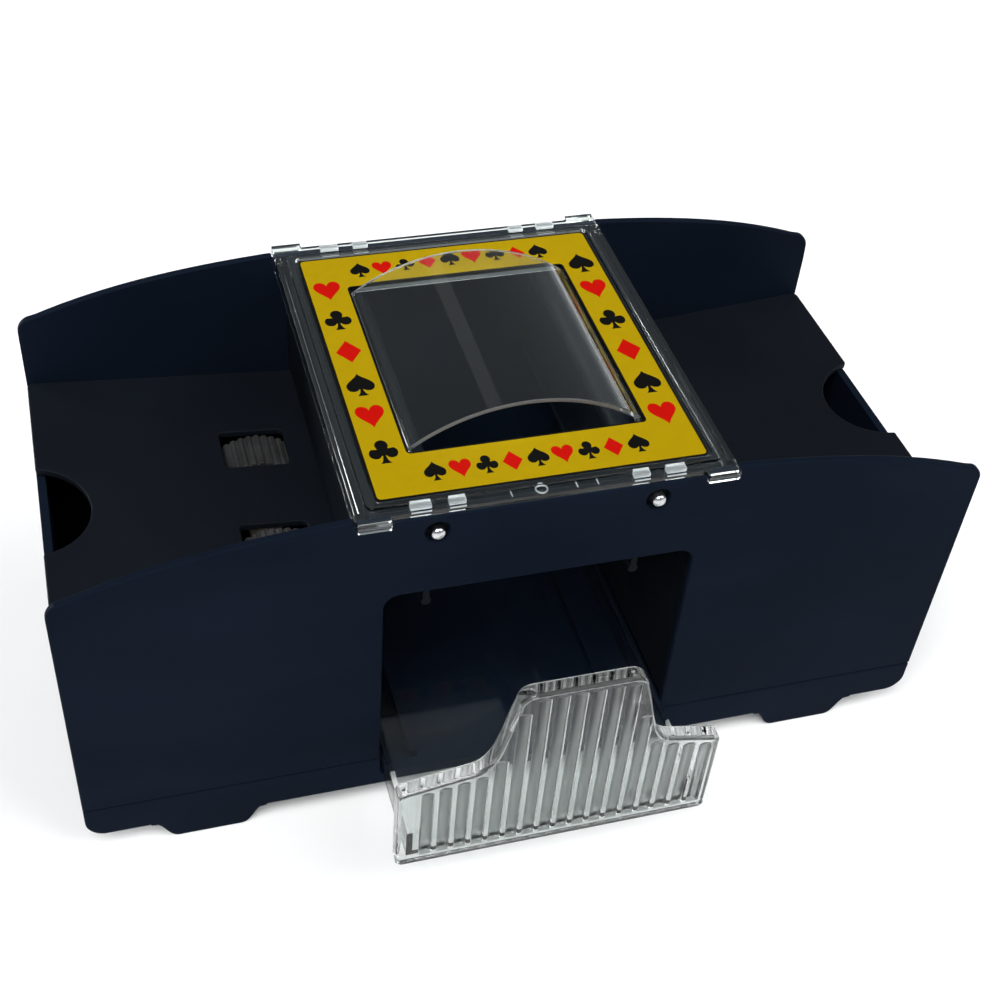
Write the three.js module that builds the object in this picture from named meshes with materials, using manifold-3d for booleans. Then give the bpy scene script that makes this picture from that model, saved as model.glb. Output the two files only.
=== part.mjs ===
// Automatic card shuffler for two decks of playing cards, in millimetres.
// +Z is up, +X is to the right, and -Y is the front, where the drawer comes out.
// Pieces are laid out about the middle of the body, and the whole is then moved by ORIGIN_SHIFT_Y.
// The origin is on the surface that the feet stand on.
import * as THREE from 'three';
import { mergeVertices } from 'three/addons/utils/BufferGeometryUtils.js';
import Module from 'manifold-3d';

const wasm = await Module();
wasm.setup();

// ---- Driving dimensions ----------------------------------------------------------------------

const HALF_LENGTH = 100;
const HALF_WIDTH = 46.9;
const WALL = 1.9;
const GAP = 0.3;

const FLOOR_Z = 5.5;
const SEAM_Z = 14.5;
const FOOT = { inner: 60, outer: 86, flat: 7, depth: 10 };

const ARCH_TOP = 91.5;
const ARCH_FALL_2 = 5.3;
const ARCH_FALL_4 = 7.6;
const TIP_RADIUS = 4;

const OPENING = { half: 33.9, top: 68, radius: 3.5, sill: 8.9 };

const COVER = { halfX: 39.9, halfY: 46.8, top: 91, plate: 1.6, skirt: 4.6, rim: 0.9 };
const VAULT = { half: 25.4, rise: 8.6, front: -28.3, back: 26.5, wall: 1.5 };
const LABEL = { halfX: 35, halfY: 41.6, windowX: 26.6, windowY: 29.7, thickness: 0.3, radius: 1.2 };
const HOOK = { width: 7, drop: 3.4, depth: 1.4, inset: 3.4 };

const GATE_PIN = { x: 23.3, z: 84.6, radius: 1.5, hole: 2.6, proud: 1.2 };
const GATE = { length: 26, thickness: 1.4, halfWidth: 41, sleeve: 3.1 };
const RUNNING_CLEARANCE = 0.08;

const TRAY = { slope: 4.95, innerX: 36.8, innerZ: 56.4, thickness: 1.8, slot: 2.2 };
const STOP_WALL = { x: 35.4, thickness: 1.8, top: 84 };

const DRAWER = { front: -72.2, frontThick: 4, halfFront: 36, halfBody: 33.4, bottom: 9.3, floor: 10.6, wall: 1.4 };
const DRAWER_SHAPE = { low: 34.8, shoulder: 38.4, tab: 60, sides: 8, length: 91.8 };
const TAB = { centre: 2.4, half: 13.4, flare: 22 };
const FLUTES = { count: 17, from: -31.6, to: 34.5, depth: 1.1 };

const ROLLER = { x: 50.5, z: 44.6, tyre: 12.5, rim: 9, hub: 4, tyreY: 16, tyreWidth: 10 };
const SHAFT_RADIUS = 1.5;
const MODULE = 0.8;
const TEETH = { roller: 22, idlerSmall: 10, idlerLarge: 24, pinion: 8 };
const ROLLER_GEAR_Y = [36.2, 39.8];
const IDLER_GEAR_Y = [31.9, 35.5];
const IDLER_ANGLE = -18;
const MOTOR_ANGLE = -35;
const MOTOR = { radius: 10.2, flat: 15.4, front: 28.7, length: 25, nose: 3, shaft: 1 };
const GEAR_PLATE_Y = [29.1, 30.9];
const BEARING_PLATE_Y = [-38.6, -36.8];
const PLATE_FOOT_Z = 7.8;

const BATTERY = { x: [40.6, 97.4], y: [-34.4, -2], top: 24.6, wall: 1.3 };
const SCREW = { x: 92.4, y: 39.6, head: 3, headHeight: 1.9, shank: 1.45, top: 24 };
const BUTTON = { x: 89, z: 38, half: 5, proud: 2.4, stroke: 1.8 };

// ---- Derived places --------------------------------------------------------------------------

const INNER_Y = HALF_WIDTH - WALL;
const SLOPE = Math.tan(THREE.MathUtils.degToRad(TRAY.slope));
const trayTop = (x) => TRAY.innerZ + (x - TRAY.innerX) * SLOPE;
const archZ = (x) => ARCH_TOP - ARCH_FALL_2 * (x / 100) ** 2 - ARCH_FALL_4 * (x / 100) ** 4;
const pitchRadius = (teeth) => (MODULE * teeth) / 2;

// Moves the part so that its origin is under the middle of its length and of its full depth, drawer included.
const ORIGIN_SHIFT_Y = -(DRAWER.front + HALF_WIDTH + BUTTON.proud) / 2;

function polar(x, z, distance, degrees) {
  const angle = THREE.MathUtils.degToRad(degrees);
  return { x: x + distance * Math.cos(angle), z: z + distance * Math.sin(angle) };
}

const IDLER_DISTANCE = pitchRadius(TEETH.roller) + pitchRadius(TEETH.idlerSmall) + 0.15;
const MOTOR_DISTANCE = pitchRadius(TEETH.idlerLarge) + pitchRadius(TEETH.pinion) + 0.15;
const IDLER = polar(ROLLER.x, ROLLER.z, IDLER_DISTANCE, IDLER_ANGLE);
const MOTOR_AXIS = polar(IDLER.x, IDLER.z, MOTOR_DISTANCE, MOTOR_ANGLE);

// ---- Materials -------------------------------------------------------------------------------

function material(color, roughness, metalness = 0, opacity = 1) {
  return new THREE.MeshStandardMaterial({
    color, roughness, metalness, opacity, transparent: opacity < 1, side: THREE.FrontSide,
  });
}

const BODY_PLASTIC = material(0x121922, 0.42);
const INNER_PLASTIC = material(0x15181c, 0.55);
const CLEAR_PLASTIC = material(0xdfe6e2, 0.08, 0, 0.35);
const LABEL_YELLOW = material(0xc39f0a, 0.5);
const STEEL = material(0xb9bcc0, 0.28, 1);
const BRONZE = material(0xa8824a, 0.4, 1);
const RUBBER = material(0x1d1d1d, 0.85);
const WHITE_NYLON = material(0xe4e2da, 0.5);
const GEAR_NYLON = material(0xd8d6cc, 0.5);
const CONTACT_METAL = material(0xc9c9c4, 0.35, 1);
const MOTOR_METAL = material(0xa9acae, 0.35, 1);
const BUTTON_RED = material(0xa51c18, 0.45);
const LEAD_RED = material(0x9c1b16, 0.5);

// ---- Solids: joining, cutting and the basic shapes ----------------------------------------------

function toSolid(geometry) {
  const bare = geometry.clone();
  bare.deleteAttribute('normal');
  bare.deleteAttribute('uv');
  const merged = mergeVertices(bare, 1e-4);
  return new wasm.Manifold(new wasm.Mesh({
    numProp: 3,
    vertProperties: merged.attributes.position.array,
    triVerts: Uint32Array.from(merged.index.array),
  }));
}

function toGeometry(solid) {
  const mesh = solid.getMesh();
  const geometry = new THREE.BufferGeometry();
  geometry.setAttribute('position', new THREE.BufferAttribute(mesh.vertProperties, 3));
  geometry.setIndex(new THREE.BufferAttribute(mesh.triVerts, 1));
  geometry.computeVertexNormals();
  return geometry;
}

function join(...geometries) {
  return toGeometry(geometries.map(toSolid).reduce((whole, next) => whole.add(next)));
}

function cut(geometry, ...tools) {
  return toGeometry(tools.map(toSolid).reduce((whole, tool) => whole.subtract(tool), toSolid(geometry)));
}

function overlap(first, second) {
  return toGeometry(toSolid(first).intersect(toSolid(second)));
}

function block([x0, x1], [y0, y1], [z0, z1]) {
  const geometry = new THREE.BoxGeometry(x1 - x0, y1 - y0, z1 - z0);
  return geometry.translate((x0 + x1) / 2, (y0 + y1) / 2, (z0 + z1) / 2);
}

function rodAlongY(x, z, radius, [y0, y1], segments = 24) {
  const geometry = new THREE.CylinderGeometry(radius, radius, y1 - y0, segments);
  return geometry.translate(x, (y0 + y1) / 2, z);
}

function rodAlongZ(x, y, radius, [z0, z1], segments = 24) {
  const geometry = new THREE.CylinderGeometry(radius, radius, z1 - z0, segments);
  return geometry.rotateX(Math.PI / 2).translate(x, y, (z0 + z1) / 2);
}

// An outline in the X-Z plane, pushed through from y0 to y1.
function plateAlongY(shape, [y0, y1], curveSegments = 8) {
  const geometry = new THREE.ExtrudeGeometry(shape, { depth: y1 - y0, bevelEnabled: false, curveSegments });
  return geometry.rotateX(Math.PI / 2).translate(0, y1, 0);
}

// An outline in the X-Y plane, pushed up from z0 to z1.
function plateAlongZ(shape, [z0, z1], curveSegments = 8) {
  const geometry = new THREE.ExtrudeGeometry(shape, { depth: z1 - z0, bevelEnabled: false, curveSegments });
  return geometry.translate(0, 0, z0);
}

function roundedRectangle(halfX, halfY, radius, path = new THREE.Shape()) {
  path.moveTo(-halfX + radius, -halfY);
  path.lineTo(halfX - radius, -halfY);
  path.absarc(halfX - radius, -halfY + radius, radius, -Math.PI / 2, 0, false);
  path.lineTo(halfX, halfY - radius);
  path.absarc(halfX - radius, halfY - radius, radius, 0, Math.PI / 2, false);
  path.lineTo(-halfX + radius, halfY);
  path.absarc(-halfX + radius, halfY - radius, radius, Math.PI / 2, Math.PI, false);
  path.lineTo(-halfX, -halfY + radius);
  path.absarc(-halfX + radius, -halfY + radius, radius, Math.PI, 1.5 * Math.PI, false);
  return path;
}

function circleHole(x, y, radius) {
  return new THREE.Path().absarc(x, y, radius, 0, 2 * Math.PI, true);
}

const mirrored = (side, [x0, x1]) => (side > 0 ? [x0, x1] : [-x1, -x0]);

// ---- Housing -----------------------------------------------------------------------------------

// Points along the arched top edge, from one x to another.
function archPoints(from, to, steps) {
  return Array.from({ length: steps + 1 }, (_, i) => {
    const x = from + ((to - from) * i) / steps;
    return new THREE.Vector2(x, archZ(x));
  });
}

// The outline of a long wall: upright ends with rounded tips, the arch, and a step for the cover.
function longWallShape(withOpening) {
  const bottom = SEAM_Z + GAP;
  const notch = COVER.halfX + GAP;
  const notchZ = COVER.top - COVER.plate - 0.2;
  const tipX = HALF_LENGTH - TIP_RADIUS;
  const tipZ = archZ(tipX) - TIP_RADIUS;
  const shape = new THREE.Shape();
  shape.moveTo(-HALF_LENGTH, bottom);
  if (withOpening) {
    const { half, top, radius } = OPENING;
    shape.lineTo(-half, bottom);
    shape.lineTo(-half, top - radius);
    shape.absarc(-half + radius, top - radius, radius, Math.PI, Math.PI / 2, true);
    shape.lineTo(half - radius, top);
    shape.absarc(half - radius, top - radius, radius, Math.PI / 2, 0, true);
    shape.lineTo(half, bottom);
  }
  shape.lineTo(HALF_LENGTH, bottom);
  shape.lineTo(HALF_LENGTH, tipZ);
  shape.absarc(tipX, tipZ, TIP_RADIUS, 0, 1.2, false);
  archPoints(tipX - 1, notch, 10).forEach((point) => shape.lineTo(point.x, point.y));
  shape.lineTo(notch, notchZ);
  shape.lineTo(-notch, notchZ);
  archPoints(-notch, -tipX + 1, 10).forEach((point) => shape.lineTo(point.x, point.y));
  shape.absarc(-tipX, tipZ, TIP_RADIUS, Math.PI - 1.2, Math.PI, false);
  for (const side of [-1, 1]) {
    shape.holes.push(circleHole(side * GATE_PIN.x, GATE_PIN.z, GATE_PIN.hole));
  }
  return shape;
}

function endWall(side) {
  const top = trayTop(HALF_LENGTH) - TRAY.thickness - 0.6;
  return block(mirrored(side, [HALF_LENGTH - WALL, HALF_LENGTH]), [-INNER_Y - 0.5, INNER_Y + 0.5], [SEAM_Z + GAP, top]);
}

// A post in a corner that takes a screw from below.
function screwPost(sideX, sideY) {
  const bottom = SEAM_Z + GAP;
  const x = sideX * SCREW.x;
  const y = sideY * SCREW.y;
  const post = rodAlongZ(x, y, 3.6, [bottom, SCREW.top + 3], 12);
  const webX = block(mirrored(sideX, [SCREW.x, HALF_LENGTH - 1]), [y - 0.8, y + 0.8], [bottom, SCREW.top + 3]);
  const webY = block([x - 0.8, x + 0.8], mirrored(sideY, [SCREW.y, HALF_WIDTH - 1]), [bottom, SCREW.top + 3]);
  return [post, webX, webY];
}

// Ledges on the ends and on the long walls that carry the trays.
function trayLedge(side, sideY) {
  const shape = new THREE.Shape();
  const inner = TRAY.innerX + 2;
  const outer = HALF_LENGTH - WALL;
  const drop = TRAY.thickness + GAP;
  shape.moveTo(side * inner, trayTop(inner) - drop);
  shape.lineTo(side * outer, trayTop(outer) - drop);
  shape.lineTo(side * outer, trayTop(outer) - drop - 2);
  shape.lineTo(side * inner, trayTop(inner) - drop - 2);
  return plateAlongY(shape, sideY > 0 ? [INNER_Y - 1.6, INNER_Y + 0.5] : [-INNER_Y - 0.5, -INNER_Y + 1.6]);
}

function housingShell() {
  const frontWall = plateAlongY(longWallShape(true), [-HALF_WIDTH, -INNER_Y], 6);
  const backWall = plateAlongY(longWallShape(false), [INNER_Y, HALF_WIDTH], 6);
  const pieces = [frontWall, backWall, endWall(-1), endWall(1)];
  const bores = [];
  for (const sideX of [-1, 1]) {
    for (const sideY of [-1, 1]) {
      pieces.push(...screwPost(sideX, sideY), trayLedge(sideX, sideY));
      bores.push(rodAlongZ(sideX * SCREW.x, sideY * SCREW.y, SCREW.shank + 0.2, [SEAM_Z, SCREW.top + 1], 10));
    }
  }
  const buttonHole = rodAlongY(BUTTON.x, BUTTON.z, BUTTON.half + 0.3, [INNER_Y - 1, HALF_WIDTH + 1]);
  return cut(join(...pieces), ...bores, buttonHole);
}

// ---- Base pan -----------------------------------------------------------------------------------

// Half of the side view of a foot: straight wall below the seam, with a smooth bump that ends in a flat.
function footShape(side) {
  const { inner, outer, flat } = FOOT;
  const middle = (inner + outer) / 2;
  const shape = new THREE.Shape();
  shape.moveTo(side * inner, FLOOR_Z + 0.5);
  shape.lineTo(side * inner, FLOOR_Z);
  shape.bezierCurveTo(side * (inner + 3), FLOOR_Z, side * (inner + 3), 0, side * (middle - flat), 0);
  shape.lineTo(side * (middle + flat), 0);
  shape.bezierCurveTo(side * (outer - 3), 0, side * (outer - 3), FLOOR_Z, side * outer, FLOOR_Z);
  shape.lineTo(side * outer, FLOOR_Z + 0.5);
  return shape;
}

// The outer block of the pan, seen from the front: rounded lower corners.
function panShape() {
  const radius = 4.5;
  const shape = new THREE.Shape();
  shape.moveTo(-HALF_LENGTH, SEAM_Z);
  shape.lineTo(-HALF_LENGTH, FLOOR_Z + radius);
  shape.absarc(-HALF_LENGTH + radius, FLOOR_Z + radius, radius, Math.PI, 1.5 * Math.PI, false);
  shape.lineTo(HALF_LENGTH - radius, FLOOR_Z);
  shape.absarc(HALF_LENGTH - radius, FLOOR_Z + radius, radius, -Math.PI / 2, 0, false);
  shape.lineTo(HALF_LENGTH, SEAM_Z);
  return shape;
}

function basePan() {
  const floorTop = FLOOR_Z + 2;
  const outer = plateAlongY(panShape(), [-HALF_WIDTH, HALF_WIDTH], 5);
  const inside = block(
    [-HALF_LENGTH + 2.6, HALF_LENGTH - 2.6], [-INNER_Y, INNER_Y], [floorTop, SEAM_Z + 1],
  );
  const sill = block([-OPENING.half, OPENING.half], [-HALF_WIDTH - 1, -INNER_Y + 1], [OPENING.sill, SEAM_Z + 1]);
  const additions = [];
  const cuts = [];
  for (const sideX of [-1, 1]) {
    for (const sideY of [-1, 1]) {
      const depth = sideY > 0 ? [HALF_WIDTH - FOOT.depth, HALF_WIDTH] : [-HALF_WIDTH, -HALF_WIDTH + FOOT.depth];
      additions.push(plateAlongY(footShape(sideX), depth, 5));
      const x = sideX * SCREW.x;
      const y = sideY * SCREW.y;
      additions.push(rodAlongZ(x, y, 4.4, [FLOOR_Z + 0.5, SEAM_Z], 12));
      cuts.push(rodAlongZ(x, y, SCREW.shank + 0.25, [FLOOR_Z - 1, SEAM_Z + 1], 10));
      cuts.push(rodAlongZ(x, y, SCREW.head + 0.3, [FLOOR_Z - 1, FLOOR_Z + SCREW.headHeight + 0.5], 14));
    }
    const railX = mirrored(sideX, [DRAWER.halfBody + 0.4, DRAWER.halfBody + 2]);
    additions.push(block(railX, [-INNER_Y + 2, INNER_Y], [floorTop - 0.5, SEAM_Z]));
    const doorX = mirrored(sideX, [BATTERY.x[0] + 1.6, BATTERY.x[1] - 1.6]);
    cuts.push(block(doorX, [BATTERY.y[0] + 1.6, BATTERY.y[1] - 1.6], [FLOOR_Z - 1, floorTop + 1]));
  }
  const runner = block([-26, -24], [-INNER_Y + 2, INNER_Y - 2], [floorTop - 0.5, DRAWER.floor - GAP]);
  const otherRunner = block([24, 26], [-INNER_Y + 2, INNER_Y - 2], [floorTop - 0.5, DRAWER.floor - GAP]);
  return cut(join(cut(outer, inside), ...additions, runner, otherRunner), sill, ...cuts);
}

function batteryDoor(side) {
  const x = mirrored(side, [BATTERY.x[0] + 1.9, BATTERY.x[1] - 1.9]);
  const y = [BATTERY.y[0] + 1.9, BATTERY.y[1] - 1.9];
  const plate = block(x, y, [FLOOR_Z, FLOOR_Z + 1.8]);
  const lips = [y[0] + 2, y[1] - 3.2].map((y0) => (
    block([x[0] + 4, x[1] - 4], [y0, y0 + 1.2], [FLOOR_Z + 1.5, FLOOR_Z + 3.4])
  ));
  const grip = block([(x[0] + x[1]) / 2 - 7, (x[0] + x[1]) / 2 + 7], [y[0] + 4.5, y[0] + 6], [FLOOR_Z - 0.6, FLOOR_Z + 0.5]);
  const secondGrip = grip.clone().translate(0, 3, 0);
  return join(plate, ...lips, grip, secondGrip);
}

function batteryBox(side) {
  const { x, y, top, wall } = BATTERY;
  const outer = block(mirrored(side, x), y, [FLOOR_Z + 2 + GAP, top]);
  const innerX = mirrored(side, [x[0] + wall, x[1] - wall]);
  return cut(outer, block(innerX, [y[0] + wall, y[1] - wall], [FLOOR_Z, top - wall]));
}

// A sheet-metal contact on an end wall of the battery box, with two pressed bumps.
function flatContact(side) {
  const x0 = BATTERY.x[0] + BATTERY.wall + 0.2;
  const plate = block(mirrored(side, [x0, x0 + 0.5]), [BATTERY.y[0] + 4, BATTERY.y[1] - 4], [11, 21]);
  const bumps = cellCentres().map((y) => block(mirrored(side, [x0 + 0.3, x0 + 1.4]), [y - 2, y + 2], [14, 18]));
  return join(plate, ...bumps);
}

function cellCentres() {
  const middle = (BATTERY.y[0] + BATTERY.y[1]) / 2;
  return [middle - 7.4, middle + 7.4];
}

// The sprung contact on the other end: a plate with two conical coils on it.
function springContact(side) {
  const x1 = BATTERY.x[1] - BATTERY.wall - 0.2;
  const plate = block(mirrored(side, [x1 - 0.5, x1]), [BATTERY.y[0] + 4, BATTERY.y[1] - 4], [11, 21]);
  const coils = cellCentres().map((y) => {
    const coil = helix({ radius: 4.2, endRadius: 2.6, turns: 2.5, length: 4.6, wire: 0.4, sides: 4, steps: 9 });
    return coil.rotateY((-side * Math.PI) / 2).translate(side * (x1 - 0.4), y, 16);
  });
  return join(plate, ...coils);
}

// A coil spring along +Z from z = 0.
function helix({ radius, endRadius = radius, turns, length, wire, sides = 6, steps = 14 }) {
  class Coil extends THREE.Curve {
    getPoint(t) {
      const angle = t * turns * 2 * Math.PI;
      const reach = radius + (endRadius - radius) * t;
      return new THREE.Vector3(reach * Math.cos(angle), reach * Math.sin(angle), t * length);
    }
  }
  const section = new THREE.Shape(
    Array.from({ length: sides }, (_, i) => {
      const angle = (i / sides) * 2 * Math.PI;
      return new THREE.Vector2(wire * Math.cos(angle), wire * Math.sin(angle));
    }),
  );
  return new THREE.ExtrudeGeometry(section, { steps: Math.round(turns * steps), extrudePath: new Coil() });
}

// ---- Trays and chamber --------------------------------------------------------------------------

// The tray floor slopes down to the feed rollers; its inner wall goes down beside the drawer.
function cardTray(side) {
  const { innerX, thickness } = TRAY;
  const outerX = HALF_LENGTH;
  const wallX = STOP_WALL.x;
  const shape = new THREE.Shape();
  shape.moveTo(side * wallX, SEAM_Z + 1);
  shape.lineTo(side * wallX, trayTop(wallX));
  shape.lineTo(side * (outerX - 1.2), trayTop(outerX - 1.2));
  shape.absarc(side * (outerX - 1.2), trayTop(outerX) - 1.2, 1.2, Math.PI / 2, side > 0 ? -0.6 : Math.PI + 0.6, side > 0);
  shape.lineTo(side * (outerX - 1), trayTop(outerX) - thickness - 0.2);
  shape.lineTo(side * (innerX + 0.4), trayTop(innerX) - thickness);
  shape.lineTo(side * (innerX + 0.4), SEAM_Z + 1);
  const tray = plateAlongY(shape, [-INNER_Y + 0.2, INNER_Y - 0.2], 5);
  const slots = [-1, 1].map((end) => {
    const y = end * ROLLER.tyreY;
    const reach = ROLLER.tyreWidth / 2 + 1.2;
    return block(mirrored(side, [ROLLER.x - 7.5, ROLLER.x + 7.5]), [y - reach, y + reach], [50, 66]);
  });
  const thumbNotch = rodAlongZ(side * (outerX + 3), 0, 14, [50, 70], 32);
  return cut(tray, ...slots, thumbNotch);
}

// The frame under the cover: two walls that stop the decks, tied together by a rail front and back.
function chamberFrame() {
  const top = COVER.top - COVER.plate - 0.4;
  const halfY = INNER_Y - 0.2;
  const pieces = [];
  for (const side of [-1, 1]) {
    const x = mirrored(side, [STOP_WALL.x, STOP_WALL.x + STOP_WALL.thickness]);
    pieces.push(block(x, [-halfY, halfY], [trayTop(STOP_WALL.x) + TRAY.slot, top]));
    const y = side > 0 ? [halfY - 1.8, halfY] : [-halfY, -halfY + 1.8];
    pieces.push(block([-STOP_WALL.x - 1, STOP_WALL.x + 1], y, [79.5, top]));
    const shelf = side > 0 ? [halfY - 9, halfY] : [-halfY, -halfY + 9];
    pieces.push(block([-STOP_WALL.x - 1, STOP_WALL.x + 1], shelf, [top - 1, top]));
  }
  const bores = [-1, 1].map((side) => (
    rodAlongY(side * GATE_PIN.x, GATE_PIN.z, GATE_PIN.radius + 0.15, [-HALF_WIDTH, HALF_WIDTH], 20)
  ));
  return cut(join(...pieces), ...bores);
}

function gatePin(side) {
  return rodAlongY(
    side * GATE_PIN.x, GATE_PIN.z, GATE_PIN.radius, [-HALF_WIDTH - GATE_PIN.proud, HALF_WIDTH + 0.4], 20,
  );
}

// A flap that hangs from its pin, in the way of the cards that fly in through the slot.
function cardGate(side) {
  const halfY = GATE.halfWidth;
  const sleeve = rodAlongY(0, 0, GATE.sleeve, [-halfY, halfY], 20);
  const leaf = block([-GATE.thickness / 2, GATE.thickness / 2], [-halfY, halfY], [-GATE.length, -1]);
  const lip = rodAlongY(0, -GATE.length, 1.1, [-halfY, halfY], 12);
  const bore = rodAlongY(0, 0, GATE_PIN.radius + RUNNING_CLEARANCE, [-halfY - 1, halfY + 1], 24);
  return cut(join(sleeve, leaf, lip), bore).translate(side * GATE_PIN.x, 0, GATE_PIN.z);
}

// ---- Cover, label and drawer ----------------------------------------------------------------------

// The arched window: a thin half-pipe whose axis runs front to back.
function vaultShell() {
  const { half, rise, wall, front, back } = VAULT;
  const bottom = COVER.top - COVER.plate;
  const base = COVER.top;
  const radius = (half * half + rise * rise) / (2 * rise);
  const centre = base + rise - radius;
  const reach = Math.asin(half / radius);
  const shape = new THREE.Shape();
  shape.moveTo(half, bottom);
  shape.absarc(0, centre, radius, Math.PI / 2 - reach, Math.PI / 2 + reach, false);
  shape.lineTo(-half, bottom);
  shape.lineTo(-half + wall, bottom);
  shape.absarc(0, centre, radius - wall, Math.PI / 2 + reach - 0.03, Math.PI / 2 - reach + 0.03, true);
  shape.lineTo(half - wall, bottom);
  return plateAlongY(shape, [front, back], 14);
}

function clearCover() {
  const { halfX, halfY, top, plate, skirt, rim } = COVER;
  const bottom = top - plate;
  const outline = roundedRectangle(halfX, halfY, 1.5);
  outline.holes.push(roundedRectangle(VAULT.half - 0.4, LABEL.windowY, 1, new THREE.Path()));
  const sheet = plateAlongZ(outline, [bottom, top], 3);
  const pieces = [sheet, vaultShell()];
  const border = roundedRectangle(LABEL.halfX + 2.4, LABEL.halfY + 2.2, 1.6);
  border.holes.push(roundedRectangle(LABEL.halfX + 0.6, LABEL.halfY + 0.6, 1.2, new THREE.Path()));
  pieces.push(plateAlongZ(border, [top - 0.4, top + rim], 3));
  for (const sideX of [-1, 1]) {
    const skirtX = mirrored(sideX, [halfX - 1.5, halfX]);
    pieces.push(block(skirtX, [-INNER_Y + 0.8, INNER_Y - 0.8], [top - skirt, bottom + 0.5]));
    for (const sideY of [-1, 1]) {
      const hookX = mirrored(sideX, [halfX - HOOK.width, halfX]);
      const hookY = [halfY - 0.5, HALF_WIDTH + GAP + HOOK.depth].map((value) => sideY * value).sort((a, b) => a - b);
      const downY = [HALF_WIDTH + GAP, HALF_WIDTH + GAP + HOOK.depth].map((value) => sideY * value).sort((a, b) => a - b);
      pieces.push(block(hookX, hookY, [bottom, top - 0.2]));
      pieces.push(block(hookX, downY, [top - HOOK.drop, top - 0.6]));
      const clipY = [INNER_Y - 1.1, INNER_Y - 2.3].map((value) => sideY * value).sort((a, b) => a - b);
      pieces.push(block(mirrored(sideX, [28.2, 31.5]), clipY, [top - 1, top + 0.5]));
    }
  }
  return join(...pieces);
}

function label() {
  const outline = roundedRectangle(LABEL.halfX, LABEL.halfY, LABEL.radius);
  outline.holes.push(roundedRectangle(LABEL.windowX, LABEL.windowY, 0.8, new THREE.Path()));
  return plateAlongZ(outline, [COVER.top + 0.1, COVER.top + 0.1 + LABEL.thickness], 4);
}

// The front view of the drawer: low rims, S-shaped shoulders and a finger tab a little right of the middle.
function drawerFrontShape() {
  const { halfFront, bottom } = DRAWER;
  const { low, shoulder, tab } = DRAWER_SHAPE;
  const { centre, half, flare } = TAB;
  const shape = new THREE.Shape();
  shape.moveTo(-halfFront + 1, bottom);
  shape.lineTo(halfFront - 1, bottom);
  shape.lineTo(halfFront, bottom + 1);
  shape.lineTo(halfFront, low - 1.5);
  shape.absarc(halfFront - 1.5, low - 1.5, 1.5, 0, Math.PI / 2, false);
  shape.lineTo(centre + flare, shoulder - 1);
  shape.bezierCurveTo(
    centre + flare - 5, shoulder, centre + flare - 5.5, tab - 12, centre + half + 0.5, tab - 3.5,
  );
  shape.absarc(centre + half - 3, tab - 3.5, 3.5, 0, Math.PI / 2, false);
  shape.lineTo(centre - half + 3, tab);
  shape.absarc(centre - half + 3, tab - 3.5, 3.5, Math.PI / 2, Math.PI, false);
  shape.bezierCurveTo(
    centre - flare + 5.5, tab - 12, centre - flare + 5, shoulder, centre - flare, shoulder - 1,
  );
  shape.lineTo(-halfFront + 1.5, low);
  shape.absarc(-halfFront + 1.5, low - 1.5, 1.5, Math.PI / 2, Math.PI, false);
  shape.lineTo(-halfFront, bottom + 1);
  return shape;
}

// The plan view of the drawer front: a plate whose face has hollow flutes with sharp ridges between them.
function fluteShape() {
  const { front, frontThick, halfFront } = DRAWER;
  const { count, from, to, depth } = FLUTES;
  const pitch = (to - from) / count;
  const shape = new THREE.Shape();
  shape.moveTo(-halfFront - 1, front + frontThick);
  shape.lineTo(-halfFront - 1, front);
  shape.lineTo(from, front);
  for (let i = 0; i < count; i += 1) {
    const left = from + i * pitch;
    shape.quadraticCurveTo(left + pitch / 2, front + 2 * depth, left + pitch, front);
  }
  shape.lineTo(halfFront + 1, front);
  shape.lineTo(halfFront + 1, front + frontThick);
  return shape;
}

function drawer() {
  const { front, frontThick, halfBody, floor, wall } = DRAWER;
  const { sides, length } = DRAWER_SHAPE;
  const flutes = plateAlongZ(fluteShape(), [0, 80], 4);
  const plate = overlap(flutes, plateAlongY(drawerFrontShape(), [front - 2, front + frontThick + 1], 6));
  const inner = front + frontThick - 0.5;
  const back = front + frontThick + length;
  const sheet = block([-halfBody, halfBody], [inner, back], [floor, floor + wall]);
  const left = block([-halfBody, -halfBody + wall], [inner, back], [floor, floor + sides]);
  const right = left.clone().translate(2 * halfBody - wall, 0, 0);
  const rear = block([-halfBody, halfBody], [back - wall, back], [floor, floor + sides]);
  return join(plate, sheet, left, right, rear);
}

// ---- Feed rollers, gears and motors ---------------------------------------------------------------

function rollerShaft(side) {
  return rodAlongY(side * ROLLER.x, ROLLER.z, SHAFT_RADIUS, [-40.4, 41.2], 14);
}

// A turned or moulded ring about the roller axis: inner radius, outer radius, from y0 to y1.
function ring(x, z, inner, outer, [y0, y1], segments = 32) {
  return cut(rodAlongY(x, z, outer, [y0, y1], segments), rodAlongY(x, z, inner, [y0 - 1, y1 + 1], segments));
}

function rollerHub(side) {
  const { z, hub, rim, tyreY, tyreWidth } = ROLLER;
  const x = side * ROLLER.x;
  const reach = tyreY + tyreWidth / 2;
  const pieces = [rodAlongY(x, z, hub, [-reach, reach], 16)];
  for (const end of [-1, 1]) {
    const y = end * tyreY;
    pieces.push(rodAlongY(x, z, rim, [y - tyreWidth / 2, y + tyreWidth / 2], 28));
  }
  return cut(join(...pieces), rodAlongY(x, z, SHAFT_RADIUS + 0.15, [-reach - 1, reach + 1], 14));
}

function feedTyre(side, end) {
  const y = end * ROLLER.tyreY;
  const half = ROLLER.tyreWidth / 2;
  return ring(side * ROLLER.x, ROLLER.z, ROLLER.rim + 0.15, ROLLER.tyre, [y - half, y + half], 28);
}

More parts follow.
